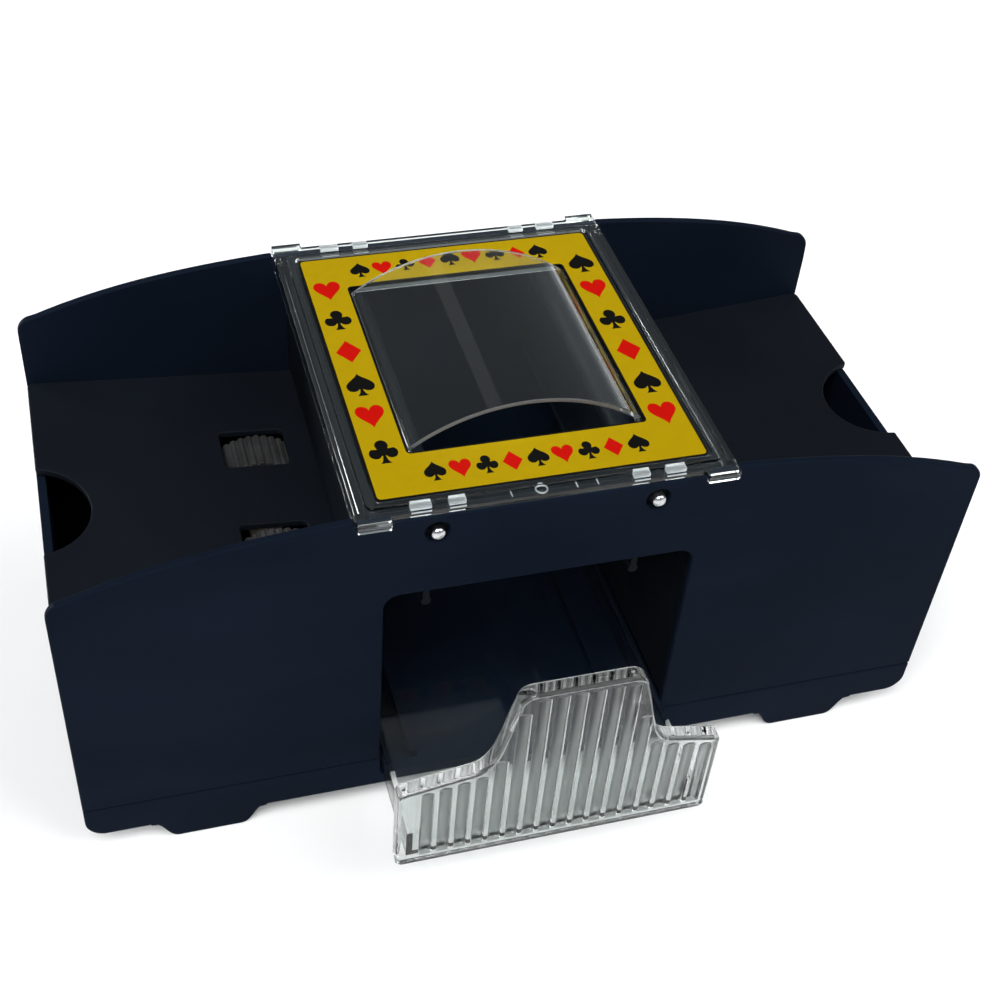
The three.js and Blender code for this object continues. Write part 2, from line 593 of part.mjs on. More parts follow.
// The outline of a spur gear with straight-sided teeth; `phase` is the angle of a tooth's middle.
function gearShape(x, z, teeth, phase) {
  const pitch = pitchRadius(teeth);
  const tip = pitch + MODULE * 0.9;
  const root = pitch - MODULE * 1.15;
  const step = (2 * Math.PI) / teeth;
  const corners = [[-0.29, root], [-0.13, tip], [0.13, tip], [0.29, root]];
  const points = [];
  for (let i = 0; i < teeth; i += 1) {
    for (const [part, radius] of corners) {
      const angle = phase + (i + part) * step;
      points.push(new THREE.Vector2(x + radius * Math.cos(angle), z + radius * Math.sin(angle)));
    }
  }
  return new THREE.Shape(points);
}

// Where one gear has a tooth on the line of centres, the other has a gap.
const facing = (degrees, teeth, gap) => THREE.MathUtils.degToRad(degrees) + (gap ? Math.PI / teeth : 0);

function spurGear(place, teeth, phase, width, boreRadius) {
  const blank = plateAlongY(gearShape(place.x, place.z, teeth, phase), width);
  return cut(blank, rodAlongY(place.x, place.z, boreRadius, [width[0] - 1, width[1] + 1], 14));
}

function rollerGear() {
  const phase = facing(IDLER_ANGLE, TEETH.roller, false);
  return spurGear(ROLLER, TEETH.roller, phase, ROLLER_GEAR_Y, SHAFT_RADIUS + 0.15);
}

function idlerGear() {
  const small = facing(IDLER_ANGLE + 180, TEETH.idlerSmall, true);
  const large = facing(MOTOR_ANGLE, TEETH.idlerLarge, false);
  const wheel = plateAlongY(gearShape(IDLER.x, IDLER.z, TEETH.idlerLarge, large), IDLER_GEAR_Y);
  const upper = [IDLER_GEAR_Y[1] - 0.2, ROLLER_GEAR_Y[1]];
  const nest = plateAlongY(gearShape(IDLER.x, IDLER.z, TEETH.idlerSmall, small), upper);
  return cut(join(wheel, nest), rodAlongY(IDLER.x, IDLER.z, 1 + RUNNING_CLEARANCE, [IDLER_GEAR_Y[0] - 1, ROLLER_GEAR_Y[1] + 1], 20));
}

function idlerPin() {
  const pin = rodAlongY(IDLER.x, IDLER.z, 1, [GEAR_PLATE_Y[0], ROLLER_GEAR_Y[1] + 0.9], 16);
  return join(pin, rodAlongY(IDLER.x, IDLER.z, 1.9, [ROLLER_GEAR_Y[1] + 0.3, ROLLER_GEAR_Y[1] + 0.9], 16));
}

function motorPinion() {
  const phase = facing(MOTOR_ANGLE + 180, TEETH.pinion, true);
  return spurGear(MOTOR_AXIS, TEETH.pinion, phase, IDLER_GEAR_Y, MOTOR.shaft + 0.1);
}

function motorShaft() {
  return rodAlongY(MOTOR_AXIS.x, MOTOR_AXIS.z, MOTOR.shaft, [MOTOR.front - 4, IDLER_GEAR_Y[1] + 0.6], 16);
}

// A small flat-sided motor can with a bearing nose in front and a plastic end cap behind.
function motorCan() {
  const { radius, flat, front, length, nose, shaft } = MOTOR;
  const { x, z } = MOTOR_AXIS;
  const body = rodAlongY(x, z, radius, [front - length, front], 32);
  const flats = block([x - flat / 2, x + flat / 2], [front - length - 1, front + 1], [z - radius - 1, z + radius + 1]);
  const bearing = rodAlongY(x, z, nose, [front - 1, front + 1.6], 20);
  const bore = rodAlongY(x, z, shaft + RUNNING_CLEARANCE, [front - 4.4, front + 3], 20);
  return cut(join(overlap(body, flats), bearing), bore);
}

function plateWithHoles(limitsX, limitsZ, holes, width) {
  const shape = new THREE.Shape();
  shape.moveTo(limitsX[0], limitsZ[0]);
  shape.lineTo(limitsX[1], limitsZ[0]);
  shape.lineTo(limitsX[1], limitsZ[1] - 6);
  shape.lineTo(limitsX[1] - 6, limitsZ[1]);
  shape.lineTo(limitsX[0], limitsZ[1]);
  holes.forEach(([x, z, radius]) => shape.holes.push(circleHole(x, z, radius)));
  return plateAlongY(shape, width, 8);
}

function gearPlate() {
  return plateWithHoles([39.2, 83], [PLATE_FOOT_Z, 53.4], [
    [ROLLER.x, ROLLER.z, 3.2],
    [IDLER.x, IDLER.z, 1.15],
    [MOTOR_AXIS.x, MOTOR_AXIS.z, MOTOR.nose + 0.3],
  ], GEAR_PLATE_Y);
}

function bearingPlate() {
  return plateWithHoles([39.2, 66], [PLATE_FOOT_Z, 53.4], [[ROLLER.x, ROLLER.z, 3.2]], BEARING_PLATE_Y);
}

// A flanged bush: its flange stands on the inner face of the plate that holds it.
function bush(plateY, flangeSide) {
  const face = flangeSide > 0 ? plateY[1] : plateY[0];
  const flange = [face + flangeSide * 0.1, face + flangeSide * 1.1].sort((a, b) => a - b);
  const barrel = [plateY[0] + (flangeSide > 0 ? -0.4 : -0.5), plateY[1] + (flangeSide > 0 ? 0.5 : 0.4)];
  const body = join(rodAlongY(ROLLER.x, ROLLER.z, 3, barrel, 14), rodAlongY(ROLLER.x, ROLLER.z, 4.2, flange, 14));
  return cut(body, rodAlongY(ROLLER.x, ROLLER.z, SHAFT_RADIUS + RUNNING_CLEARANCE, [barrel[0] - 2, barrel[1] + 2], 24));
}

// ---- Switch, leads and screws ----------------------------------------------------------------------

function powerButton() {
  const { x, z, half, proud } = BUTTON;
  const cap = rodAlongY(x, z, half, [INNER_Y - 1.2, HALF_WIDTH + proud]);
  const flange = rodAlongY(x, z, half + 1.4, [INNER_Y - 1.4, INNER_Y - 0.2]);
  const stem = rodAlongY(x, z, 1.3, [INNER_Y - 5.2, INNER_Y - 1], 16);
  return join(cap, flange, stem);
}

function buttonSpring() {
  const length = 4.2;
  const coil = helix({ radius: 3, turns: 3.5, length, wire: 0.3, sides: 4, steps: 10 });
  return coil.rotateX(-Math.PI / 2).translate(BUTTON.x, INNER_Y - 1.75 - length, BUTTON.z);
}

function switchBlock() {
  const { x, z } = BUTTON;
  const body = block([x - 5.5, x + 5.5], [INNER_Y - 15, INNER_Y - 6.3], [z - 7, z + 7]);
  const bore = rodAlongY(x, z, 1.7, [INNER_Y - 10, INNER_Y - 5], 16);
  const arms = [-1, 1].map((end) => (
    block([x - 5.5, x + 5.5], [INNER_Y - 8, INNER_Y - 0.3], end > 0 ? [z + 7.4, z + 8.8] : [z - 8.8, z - 7.4])
  ));
  const webs = [-1, 1].map((end) => (
    block([x - 5.5, x + 5.5], [INNER_Y - 8, INNER_Y - 6.3], end > 0 ? [z + 6, z + 8.8] : [z - 8.8, z - 6])
  ));
  return cut(join(body, ...arms, ...webs), bore);
}

// A lead from the battery box to its motor, lying in free space below the tray.
function motorLead(side) {
  const places = [
    [93, -1.3, 20], [93, 1.5, 20], [92, 6, 17], [84, 9, 13], [76, 8, 12],
    [72, 5, 14], [70.5, 2.4, 20], [69.6, 1.6, 27], [69.6, 2.6, 33.6], [69.6, 3.3, 33.6],
  ];
  const points = places.map(([x, y, z]) => new THREE.Vector3(side * x, y, z));
  const radius = 0.7;
  const section = new THREE.Shape(
    Array.from({ length: 5 }, (_, i) => (
      new THREE.Vector2(radius * Math.cos(i * 0.4 * Math.PI), radius * Math.sin(i * 0.4 * Math.PI))
    )),
  );
  return new THREE.ExtrudeGeometry(section, { steps: 26, extrudePath: new THREE.CatmullRomCurve3(points) });
}

function housingScrew(sideX, sideY) {
  const x = sideX * SCREW.x;
  const y = sideY * SCREW.y;
  const headTop = FLOOR_Z + 0.3 + SCREW.headHeight;
  const head = rodAlongZ(x, y, SCREW.head, [FLOOR_Z + 0.3, headTop], 14);
  const shank = rodAlongZ(x, y, SCREW.shank, [headTop - 0.3, SCREW.top], 8);
  const slots = [
    block([x - 2, x + 2], [y - 0.4, y + 0.4], [FLOOR_Z, FLOOR_Z + 1.2]),
    block([x - 0.4, x + 0.4], [y - 2, y + 2], [FLOOR_Z, FLOOR_Z + 1.2]),
  ];
  return cut(join(head, shank), ...slots);
}

// ---- Assembly --------------------------------------------------------------------------------------

// Turns a solid made for the right side over to the left side, with its faces still pointing out.
function mirrorX(geometry) {
  const flipped = geometry.index ? geometry.toNonIndexed() : geometry.clone();
  const positions = flipped.attributes.position;
  for (let i = 0; i < positions.count; i += 3) {
    const corners = [0, 2, 1].map((k) => [
      -positions.getX(i + k), positions.getY(i + k), positions.getZ(i + k),
    ]);
    corners.forEach(([x, y, z], k) => positions.setXYZ(i + k, x, y, z));
  }
  flipped.deleteAttribute('normal');
  flipped.computeVertexNormals();
  return flipped;
}

const group = new THREE.Group();
group.name = 'card_shuffler';
group.position.y = ORIGIN_SHIFT_Y;

function add(name, geometry, surface) {
  const mesh = new THREE.Mesh(geometry, surface);
  mesh.name = name;
  group.add(mesh);
}

add('housing_shell', housingShell(), BODY_PLASTIC);
add('base_pan', basePan(), BODY_PLASTIC);
add('chamber_frame', chamberFrame(), INNER_PLASTIC);
add('clear_cover', clearCover(), CLEAR_PLASTIC);
add('label', label(), LABEL_YELLOW);
add('drawer', drawer(), CLEAR_PLASTIC);

for (const [sideName, side] of [['left', -1], ['right', 1]]) {
  const onSide = (geometry) => (side > 0 ? geometry : mirrorX(geometry));
  add(`${sideName}_tray`, cardTray(side), INNER_PLASTIC);
  add(`${sideName}_gate_pin`, gatePin(side), STEEL);
  add(`${sideName}_card_gate`, cardGate(side), INNER_PLASTIC);
  add(`${sideName}_roller_shaft`, rollerShaft(side), STEEL);
  add(`${sideName}_roller_hub`, rollerHub(side), WHITE_NYLON);
  add(`${sideName}_front_tyre`, feedTyre(side, -1), RUBBER);
  add(`${sideName}_rear_tyre`, feedTyre(side, 1), RUBBER);
  add(`${sideName}_roller_gear`, onSide(rollerGear()), GEAR_NYLON);
  add(`${sideName}_idler_gear`, onSide(idlerGear()), GEAR_NYLON);
  add(`${sideName}_idler_pin`, onSide(idlerPin()), STEEL);
  add(`${sideName}_motor_can`, onSide(motorCan()), MOTOR_METAL);
  add(`${sideName}_motor_shaft`, onSide(motorShaft()), STEEL);
  add(`${sideName}_motor_pinion`, onSide(motorPinion()), GEAR_NYLON);
  add(`${sideName}_gear_plate`, onSide(gearPlate()), INNER_PLASTIC);
  add(`${sideName}_bearing_plate`, onSide(bearingPlate()), INNER_PLASTIC);
  add(`${sideName}_front_bush`, onSide(bush(BEARING_PLATE_Y, 1)), BRONZE);
  add(`${sideName}_rear_bush`, onSide(bush(GEAR_PLATE_Y, -1)), BRONZE);
  add(`${sideName}_battery_box`, batteryBox(side), INNER_PLASTIC);
  add(`${sideName}_battery_door`, batteryDoor(side), BODY_PLASTIC);
  add(`${sideName}_flat_contact`, flatContact(side), CONTACT_METAL);
  add(`${sideName}_spring_contact`, springContact(side), CONTACT_METAL);
  add(`${sideName}_motor_lead`, motorLead(side), LEAD_RED);
  add(`${sideName}_front_screw`, housingScrew(side, -1), STEEL);
  add(`${sideName}_rear_screw`, housingScrew(side, 1), STEEL);
}

add('power_button', powerButton(), BUTTON_RED);
add('button_spring', buttonSpring(), STEEL);
add('switch_block', switchBlock(), INNER_PLASTIC);

export default group;
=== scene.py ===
"""The looks of an automatic card shuffler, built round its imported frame.

Lengths in the builders are millimetres about the middle of the body: X to the right, Y to the back, Z up
from the surface that the feet stand on. `publish` turns a finished mesh into metres and puts it in place.
"""

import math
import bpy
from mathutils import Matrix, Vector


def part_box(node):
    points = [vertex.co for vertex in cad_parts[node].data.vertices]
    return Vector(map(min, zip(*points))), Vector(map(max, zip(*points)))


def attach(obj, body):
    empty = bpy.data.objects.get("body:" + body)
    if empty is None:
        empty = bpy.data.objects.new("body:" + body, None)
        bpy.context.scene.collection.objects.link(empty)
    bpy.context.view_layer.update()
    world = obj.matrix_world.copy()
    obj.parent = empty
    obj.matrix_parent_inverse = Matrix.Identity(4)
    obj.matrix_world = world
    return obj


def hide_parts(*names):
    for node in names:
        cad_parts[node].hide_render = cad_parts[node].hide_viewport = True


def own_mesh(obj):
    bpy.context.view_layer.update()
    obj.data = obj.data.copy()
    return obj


bl_info = {
    "name": "Card shuffler",
    "version": (1, 0, 0),
    "blender": (4, 5, 0),
    "location": "View3D > Sidebar > Card shuffler",
    "description": "Builds the housing, clear cover, drawer, trays and feed parts of a card shuffler",
    "category": "Object",
}

import bmesh
import bpy
from mathutils import Matrix, Vector

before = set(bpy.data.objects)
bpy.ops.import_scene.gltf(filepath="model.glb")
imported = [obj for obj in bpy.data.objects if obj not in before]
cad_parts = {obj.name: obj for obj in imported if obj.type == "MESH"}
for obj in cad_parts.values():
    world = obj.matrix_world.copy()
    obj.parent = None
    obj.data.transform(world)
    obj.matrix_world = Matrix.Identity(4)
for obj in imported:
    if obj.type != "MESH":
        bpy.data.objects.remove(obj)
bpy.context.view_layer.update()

MM = 0.001
SIDES = (("left", -1), ("right", 1))
ENDS = (("front", -1), ("rear", 1))

SHELL_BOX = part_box("housing_shell")
BODY_MIDDLE = (SHELL_BOX[0].y + SHELL_BOX[1].y) / 2


def node_box(name):
    """The lowest and highest corner of a frame node, in millimetres about the middle of the body."""
    low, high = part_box(name)
    shift = Vector((0, BODY_MIDDLE, 0))
    return (low - shift) / MM, (high - shift) / MM


def span(side, near, far):
    """Two distances from the middle, put on one side of it (-1 or 1), the lower place first."""
    return sorted((side * near, side * far))


SHELL_LOW, SHELL_HIGH = node_box("housing_shell")
CHAMBER_LOW, CHAMBER_HIGH = node_box("chamber_frame")
LABEL_LOW, LABEL_HIGH = node_box("label")
DRAWER_LOW, DRAWER_HIGH = node_box("drawer")
TRAY_LOW, TRAY_HIGH = node_box("right_tray")
PIN_LOW, PIN_HIGH = node_box("right_gate_pin")
SHAFT_LOW, SHAFT_HIGH = node_box("right_roller_shaft")
TYRE_LOW, TYRE_HIGH = node_box("right_front_tyre")
BUTTON_LOW, BUTTON_HIGH = node_box("power_button")
DOOR_LOW, DOOR_HIGH = node_box("right_battery_door")
SCREW_LOW, SCREW_HIGH = node_box("right_rear_screw")
COVER_HIGH = node_box("clear_cover")[1]
GATE_HALF = node_box("right_card_gate")[1].y

HALF_LENGTH = SHELL_HIGH.x
HALF_WIDTH = SHELL_HIGH.y
SEAM_Z = node_box("base_pan")[1].z
PIN_X = (PIN_LOW.x + PIN_HIGH.x) / 2
PIN_Z = (PIN_LOW.z + PIN_HIGH.z) / 2
PIN_RADIUS = (PIN_HIGH.x - PIN_LOW.x) / 2
ROLLER_X = (TYRE_LOW.x + TYRE_HIGH.x) / 2
ROLLER_Z = (TYRE_LOW.z + TYRE_HIGH.z) / 2
TYRE_RADIUS = (TYRE_HIGH.x - TYRE_LOW.x) / 2
SCREW_X = (SCREW_LOW.x + SCREW_HIGH.x) / 2
SCREW_Y = (SCREW_LOW.y + SCREW_HIGH.y) / 2

BUTTON = {"flange": 6.4, "hole": 5.4, "travel": 1.8}
BUTTON_CENTRE = (BUTTON_HIGH.x - BUTTON["flange"], (BUTTON_LOW.z + BUTTON_HIGH.z) / 2)
TYRE_Y = 16.0
TYRE_HALF = 5.0


# ---- Sizes and colours that a user would change ------------------


def length(name, description, millimetres):
    return bpy.props.FloatProperty(
        name=name, description=description, default=millimetres * MM, min=0.0, unit="LENGTH", precision=5,
    )


def colour(name, description, value):
    return bpy.props.FloatVectorProperty(
        name=name, description=description, default=value, min=0.0, max=1.0, subtype="COLOR",
    )


class ShufflerSizes(bpy.types.PropertyGroup):
    wall: length("Wall", "Thickness of the long walls of the housing", 1.9)
    wall_rounding: length("Wall rounding", "Rounding along the edges of the housing walls", 0.5)
    pan_rounding: length("Pan rounding", "Rounding along the edges of the base pan", 0.5)
    opening_half: length("Opening half width", "Half the width of the drawer opening", 33.9)
    opening_top: length("Opening top", "Height of the top edge of the drawer opening", 68.0)
    cover_rounding: length("Cover rounding", "Rounding along the edges of the clear cover", 0.3)
    drawer_rounding: length("Drawer rounding", "Rounding along the edges of the clear drawer front", 0.9)
    flute_depth: length("Flute depth", "How far the flutes are let into the drawer front", 1.1)
    pip: length("Pip", "Width of a suit sign on the label", 6.1)
    tray_rounding: length("Tray rounding", "Rounding along the edges of the card trays", 0.4)


class ShufflerColours(bpy.types.PropertyGroup):
    body: colour("Body", "Moulded plastic of the housing and the base pan", (0.0050, 0.0082, 0.0157))
    inner: colour("Inner", "Moulded plastic of the trays and inner frames", (0.0050, 0.0068, 0.0100))
    clear: colour("Clear", "Clear plastic of the cover", (0.88, 0.92, 0.90))
    drawer: colour("Drawer", "Clear plastic of the drawer", (0.81, 0.83, 0.825))
    # The flute colour is painted shade: a dark grey tint that stands for a shaded stack of cards behind the
    # drawer front. The flute bottoms are also rough.
    flute: colour("Flutes", "Textured flute bottoms in the drawer front, tinted dark as painted shade", (0.20, 0.22, 0.213))
    frosted: colour("Frosted", "Frosted clips of the cover", (0.86, 0.88, 0.90))
    cut_edge: colour("Cut edge", "Ends of the arched window", (0.86, 0.89, 0.92))
    label: colour("Label", "Printed ground of the label", (0.335, 0.226, 0.0008))
    red_ink: colour("Red ink", "Red suit signs on the label", (0.42, 0.0036, 0.0010))
    black_ink: colour("Black ink", "Black suit signs and outlines on the label", (0.0035, 0.0035, 0.0030))
    rubber: colour("Rubber", "Tyres of the feed rollers", (0.016, 0.016, 0.017))
    nylon: colour("Nylon", "Roller hubs and gears", (0.62, 0.60, 0.54))
    button: colour("Button", "Power button and leads", (0.36, 0.012, 0.009))


def sizes():
    return bpy.context.scene.shuffler_sizes


def colours():
    return bpy.context.scene.shuffler_colours


# ---- Finishes ----------------------------------------------------


def set_range(node, start, end, low, high):
    """Sets a Map Range node to go from low to high as its value goes from start to end."""
    for socket, value in (("From Min", start), ("From Max", end), ("To Min", low), ("To Max", high)):
        node.inputs[socket].default_value = value


class Finish:
    """A material whose nodes are added one by one; `shader` is its Principled shader."""

    def __init__(self, name):
        self.material = bpy.data.materials.new(name)
        self.material.use_nodes = True
        self.nodes = self.material.node_tree.nodes
        self.shader = self.nodes["Principled BSDF"]
        self.place = self.nodes.new("ShaderNodeTexCoord").outputs["Object"]

    def link(self, source, target):
        self.material.node_tree.links.new(source, target)

    def set(self, **values):
        for socket, value in values.items():
            self.shader.inputs[socket.replace("_", " ")].default_value = value

    def noise(self, scale, detail=3.0, stretch=(1, 1, 1)):
        mapping = self.nodes.new("ShaderNodeMapping")
        mapping.inputs["Scale"].default_value = stretch
        texture = self.nodes.new("ShaderNodeTexNoise")
        texture.inputs["Scale"].default_value = scale
        texture.inputs["Detail"].default_value = detail
        self.link(self.place, mapping.inputs["Vector"])
        self.link(mapping.outputs["Vector"], texture.inputs["Vector"])
        return texture.outputs["Fac"]

    def dull(self, factor, low, high, start=0.3, end=0.7):
        """Roughness that goes from low to high as factor goes from start to end."""
        spread = self.nodes.new("ShaderNodeMapRange")
        set_range(spread, start, end, low, high)
        self.link(factor, spread.inputs["Value"])
        self.link(spread.outputs["Result"], self.shader.inputs["Roughness"])

    def shades(self, factor, dark, light, start=0.3, end=0.7):
        """A colour that goes from dark to light with factor, on the base colour."""
        ramp = self.nodes.new("ShaderNodeValToRGB")
        ramp.color_ramp.elements[0].position = start
        ramp.color_ramp.elements[1].position = end
        ramp.color_ramp.elements[0].color = (*dark, 1)
        ramp.color_ramp.elements[1].color = (*light, 1)
        self.link(factor, ramp.inputs["Fac"])
        self.link(ramp.outputs["Color"], self.shader.inputs["Base Color"])

    def bump(self, *layers):
        """Layers of (height, strength, depth in millimetres), one over the other."""
        normal = None
        for height, strength, depth in layers:
            node = self.nodes.new("ShaderNodeBump")
            node.inputs["Strength"].default_value = strength
            node.inputs["Distance"].default_value = depth * MM
            self.link(height, node.inputs["Height"])
            if normal:
                self.link(normal, node.inputs["Normal"])
            normal = node.outputs["Normal"]
        self.link(normal, self.shader.inputs["Normal"])


def tinted(base, factor):
    return tuple(min(1.0, channel * factor) for channel in base)


def moulded_plastic(name, base, roughness, grain, level):
    """Injection-moulded plastic: a fine spark grain, faint flow marks and a few duller patches.

    Grain is the strength of the spark grain's bump, and level the shader's specular level.
    """
    finish = Finish(name)
    finish.set(Specular_IOR_Level=level)
    flow = finish.noise(22, 4, stretch=(1, 1, 2.5))
    finish.shades(flow, tinted(base, 0.86), tinted(base, 1.16))
    handled = finish.noise(60, 5)
    finish.dull(handled, roughness - 0.05, roughness + 0.06)
    spark = finish.noise(2600, 2)
    ripple = finish.noise(90, 2)
    finish.bump((spark, grain, 0.02), (ripple, 0.12, 0.05))
    return finish.material


def clear_plastic(name, base, roughness, scratches, haze=0.0):
    """Clear polystyrene with hairline scratches and a slight waviness.

    It lets the lamps through, so its shadow is pale. Haze is the part of it that is milky instead of clear.
    """
    finish = Finish(name)
    finish.set(Base_Color=(*base, 1), Transmission_Weight=1.0 - haze, IOR=1.5)
    handled = finish.noise(45, 4)
    finish.dull(handled, roughness, roughness + 0.05, 0.45, 0.75)
    hairline = finish.noise(900, 1, stretch=(0.05, 1, 1))
    wave = finish.noise(35, 1)
    finish.bump((hairline, scratches, 0.01), (wave, 0.08, 0.1))
    output = finish.nodes["Material Output"]
    path = finish.nodes.new("ShaderNodeLightPath")
    open_air = finish.nodes.new("ShaderNodeBsdfTransparent")
    open_air.inputs["Color"].default_value = (*tinted(base, 1.02), 1)
    mix = finish.nodes.new("ShaderNodeMixShader")
    finish.link(path.outputs["Is Shadow Ray"], mix.inputs["Fac"])
    finish.link(finish.shader.outputs["BSDF"], mix.inputs[1])
    finish.link(open_air.outputs["BSDF"], mix.inputs[2])
    finish.link(mix.outputs["Shader"], output.inputs["Surface"])
    return finish.material


def printed_film(name, ink):
    """Ink on a thin plastic film: slightly uneven cover and a soft gloss."""
    finish = Finish(name)
    cover = finish.noise(420, 4)
    finish.shades(cover, tinted(ink, 0.97), tinted(ink, 1.02))
    gloss = finish.noise(70, 3)
    finish.set(Specular_IOR_Level=0.05)
    finish.dull(gloss, 0.42, 0.55)
    finish.bump((finish.noise(1500, 2), 0.1, 0.01))
    return finish.material


def ground_metal(name, base, roughness, stretch):
    """Drawn or ground metal: fine lines along the way it was worked, and duller handled patches."""
    finish = Finish(name)
    finish.set(Metallic=1.0)
    lines = finish.noise(1400, 3, stretch=stretch)
    finish.shades(lines, tinted(base, 0.78), tinted(base, 1.08))
    finish.dull(finish.noise(160, 3), roughness - 0.06, roughness + 0.08)
    finish.bump((lines, 0.2, 0.01))
    return finish.material


def soft_rubber(name, base):
    """Black rubber with a chalky bloom where cards have rubbed it."""
    finish = Finish(name)
    bloom = finish.noise(240, 5)
    finish.shades(bloom, tinted(base, 0.8), tinted(base, 2.1), 0.4, 0.8)
    finish.dull(bloom, 0.62, 0.85)
    finish.bump((finish.noise(1900, 3), 0.35, 0.03))
    return finish.material


def greased_nylon(name, base):
    """Natural nylon with a little light passing into it, and darker grease in random patches."""
    finish = Finish(name)
    finish.set(Subsurface_Weight=0.15, Subsurface_Scale=0.002)
    smear = finish.noise(130, 4)
    finish.shades(smear, tinted(base, 0.8), base, 0.35, 0.6)
    finish.dull(smear, 0.3, 0.5)
    finish.bump((finish.noise(1100, 2), 0.12, 0.02))
    return finish.material


FINISHES = {}


def finish(name):
    """One of the object's finishes by name; each is made once."""
    if not FINISHES:
        chosen = colours()
        FINISHES.update({
            "body": moulded_plastic("body plastic", chosen.body, 0.38, 0.10, 0.010),
            "inner": moulded_plastic("inner plastic", chosen.inner, 0.50, 0.14, 0.05),
            "clear": clear_plastic("clear plastic", chosen.clear, 0.015, 0.02),
            "drawer": clear_plastic("clear drawer plastic", chosen.drawer, 0.03, 0.05),
            # Rough clear plastic for the flute bottoms, its tint darkened as painted shade.
            "flute": clear_plastic("rough flute plastic with painted shade", chosen.flute, 0.34, 0.04),
            "frosted": clear_plastic("frosted clip plastic", chosen.frosted, 0.3, 0.1, 0.11),
            "cut_edge": clear_plastic("cut edge plastic", chosen.cut_edge, 0.28, 0.1, 0.10),
            "label": printed_film("label ground", chosen.label),
            "red_ink": printed_film("label red", chosen.red_ink),
            "black_ink": printed_film("label black", chosen.black_ink),
            "steel": ground_metal("steel pin", (0.66, 0.67, 0.68), 0.24, (1, 0.04, 1)),
            "screw": ground_metal("zinc screw", (0.58, 0.59, 0.60), 0.34, (1, 1, 0.2)),
            "bronze": ground_metal("sintered bronze", (0.50, 0.30, 0.12), 0.42, (1, 0.3, 1)),
            "contact": ground_metal("nickel contact", (0.70, 0.69, 0.64), 0.30, (1, 1, 0.1)),
            "motor_can": ground_metal("plated can", (0.56, 0.57, 0.58), 0.34, (1, 0.06, 1)),
            "rubber": soft_rubber("tyre rubber", chosen.rubber),
            "nylon": greased_nylon("hub nylon", chosen.nylon),
            "gear_nylon": greased_nylon("gear nylon", tinted(chosen.nylon, 0.92)),
            "button": moulded_plastic("button plastic", chosen.button, 0.32, 0.06, 0.5),
            "lead": moulded_plastic("lead sheath", tinted(chosen.button, 1.1), 0.45, 0.12, 0.4),
        })
    return FINISHES[name]


# ---- Shapes ------------------------------------------------------


SAME_POINT = 1e-4


def arc(centre, radius, start, end, steps):
    """Points on an arc, angles in degrees."""
    points = []
    for i in range(steps + 1):
        angle = math.radians(start + (end - start) * i / steps)
        points.append((centre[0] + radius * math.cos(angle), centre[1] + radius * math.sin(angle)))
    return points


def rounded_rectangle(half_u, half_v, radius, centre=(0, 0), steps=6):
    points = []
    for sign_u, sign_v, start in ((1, -1, -90), (1, 1, 0), (-1, 1, 90), (-1, -1, 180)):
        corner = (centre[0] + sign_u * (half_u - radius), centre[1] + sign_v * (half_v - radius))
        points += arc(corner, radius, start, start + 90, steps)
    return points


def circle(centre, radius, steps=32):
    return arc(centre, radius, 0, 360 - 360 / steps, steps - 1)


def bezier(start, first, second, end, steps):
    """Points on a cubic curve after its start."""
    points = []
    for i in range(1, steps + 1):
        t = i / steps
        weights = ((1 - t) ** 3, 3 * t * (1 - t) ** 2, 3 * t * t * (1 - t), t ** 3)
        corners = (start, first, second, end)
        points.append(tuple(sum(w * c[k] for w, c in zip(weights, corners)) for k in (0, 1)))
    return points


PLANES = {
    "X": lambda u, v, w: Vector((w, u, v)),
    "Y": lambda u, v, w: Vector((u, w, v)),
    "Z": lambda u, v, w: Vector((u, v, w)),
}


def add_loop(mesh, points, axis, level):
    """Closes points into a loop of edges in the plane across the axis."""
    corners = [mesh.verts.new(PLANES[axis](u, v, level)) for u, v in points]
    return [mesh.edges.new((corners[i - 1], corners[i])) for i in range(len(corners))]


def plate(loops, axis, low, high):
    """A plate with the first loop as its outline and the others as holes, pushed along the axis."""
    mesh = bmesh.new()
    edges = []
    for points in loops:
        edges += add_loop(mesh, points, axis, low)
    bmesh.ops.triangle_fill(mesh, use_beauty=True, use_dissolve=True, edges=edges)
    thicken(mesh, axis, high - low)
    return mesh


def thicken(mesh, axis, depth):
    """Pushes a flat sheet along the axis into a closed solid."""
    pushed = bmesh.ops.extrude_face_region(mesh, geom=mesh.faces[:])
    moved = [item for item in pushed["geom"] if isinstance(item, bmesh.types.BMVert)]
    bmesh.ops.translate(mesh, vec=PLANES[axis](0, 0, depth), verts=moved)
    bmesh.ops.recalc_face_normals(mesh, faces=mesh.faces[:])


def block(x, y, z):
    """A box that reaches from the first place to the second one along each axis."""
    mesh = bmesh.new()
    bmesh.ops.create_cube(mesh, size=1)
    low, high = (Vector(corner) for corner in zip(x, y, z))
    bmesh.ops.scale(mesh, vec=high - low, verts=mesh.verts)
    bmesh.ops.translate(mesh, vec=(low + high) / 2, verts=mesh.verts)
    return mesh


AXIS_TURNS = {
    "X": Matrix.Rotation(math.radians(90), 4, "Y"),
    "Y": Matrix.Rotation(math.radians(-90), 4, "X"),
    "Z": Matrix.Identity(4),
}


def rod(axis, centre, radius, low, high, steps=32):
    """A round bar along an axis; centre is its place in the plane across the axis."""
    mesh = bmesh.new()
    bmesh.ops.create_cone(
        mesh, cap_ends=True, segments=steps, radius1=radius, radius2=radius, depth=high - low,
    )
    bmesh.ops.transform(mesh, matrix=AXIS_TURNS[axis], verts=mesh.verts)
    bmesh.ops.translate(mesh, vec=PLANES[axis](centre[0], centre[1], (low + high) / 2), verts=mesh.verts)
    return mesh


def bar_profile(radius, low, high, chamfer=0.3):
    """The profile of a plain turned bar with chamfered ends."""
    return [
        (0, low), (radius - chamfer, low), (radius, low + chamfer),
        (radius, high - chamfer), (radius - chamfer, high), (0, high),
    ]


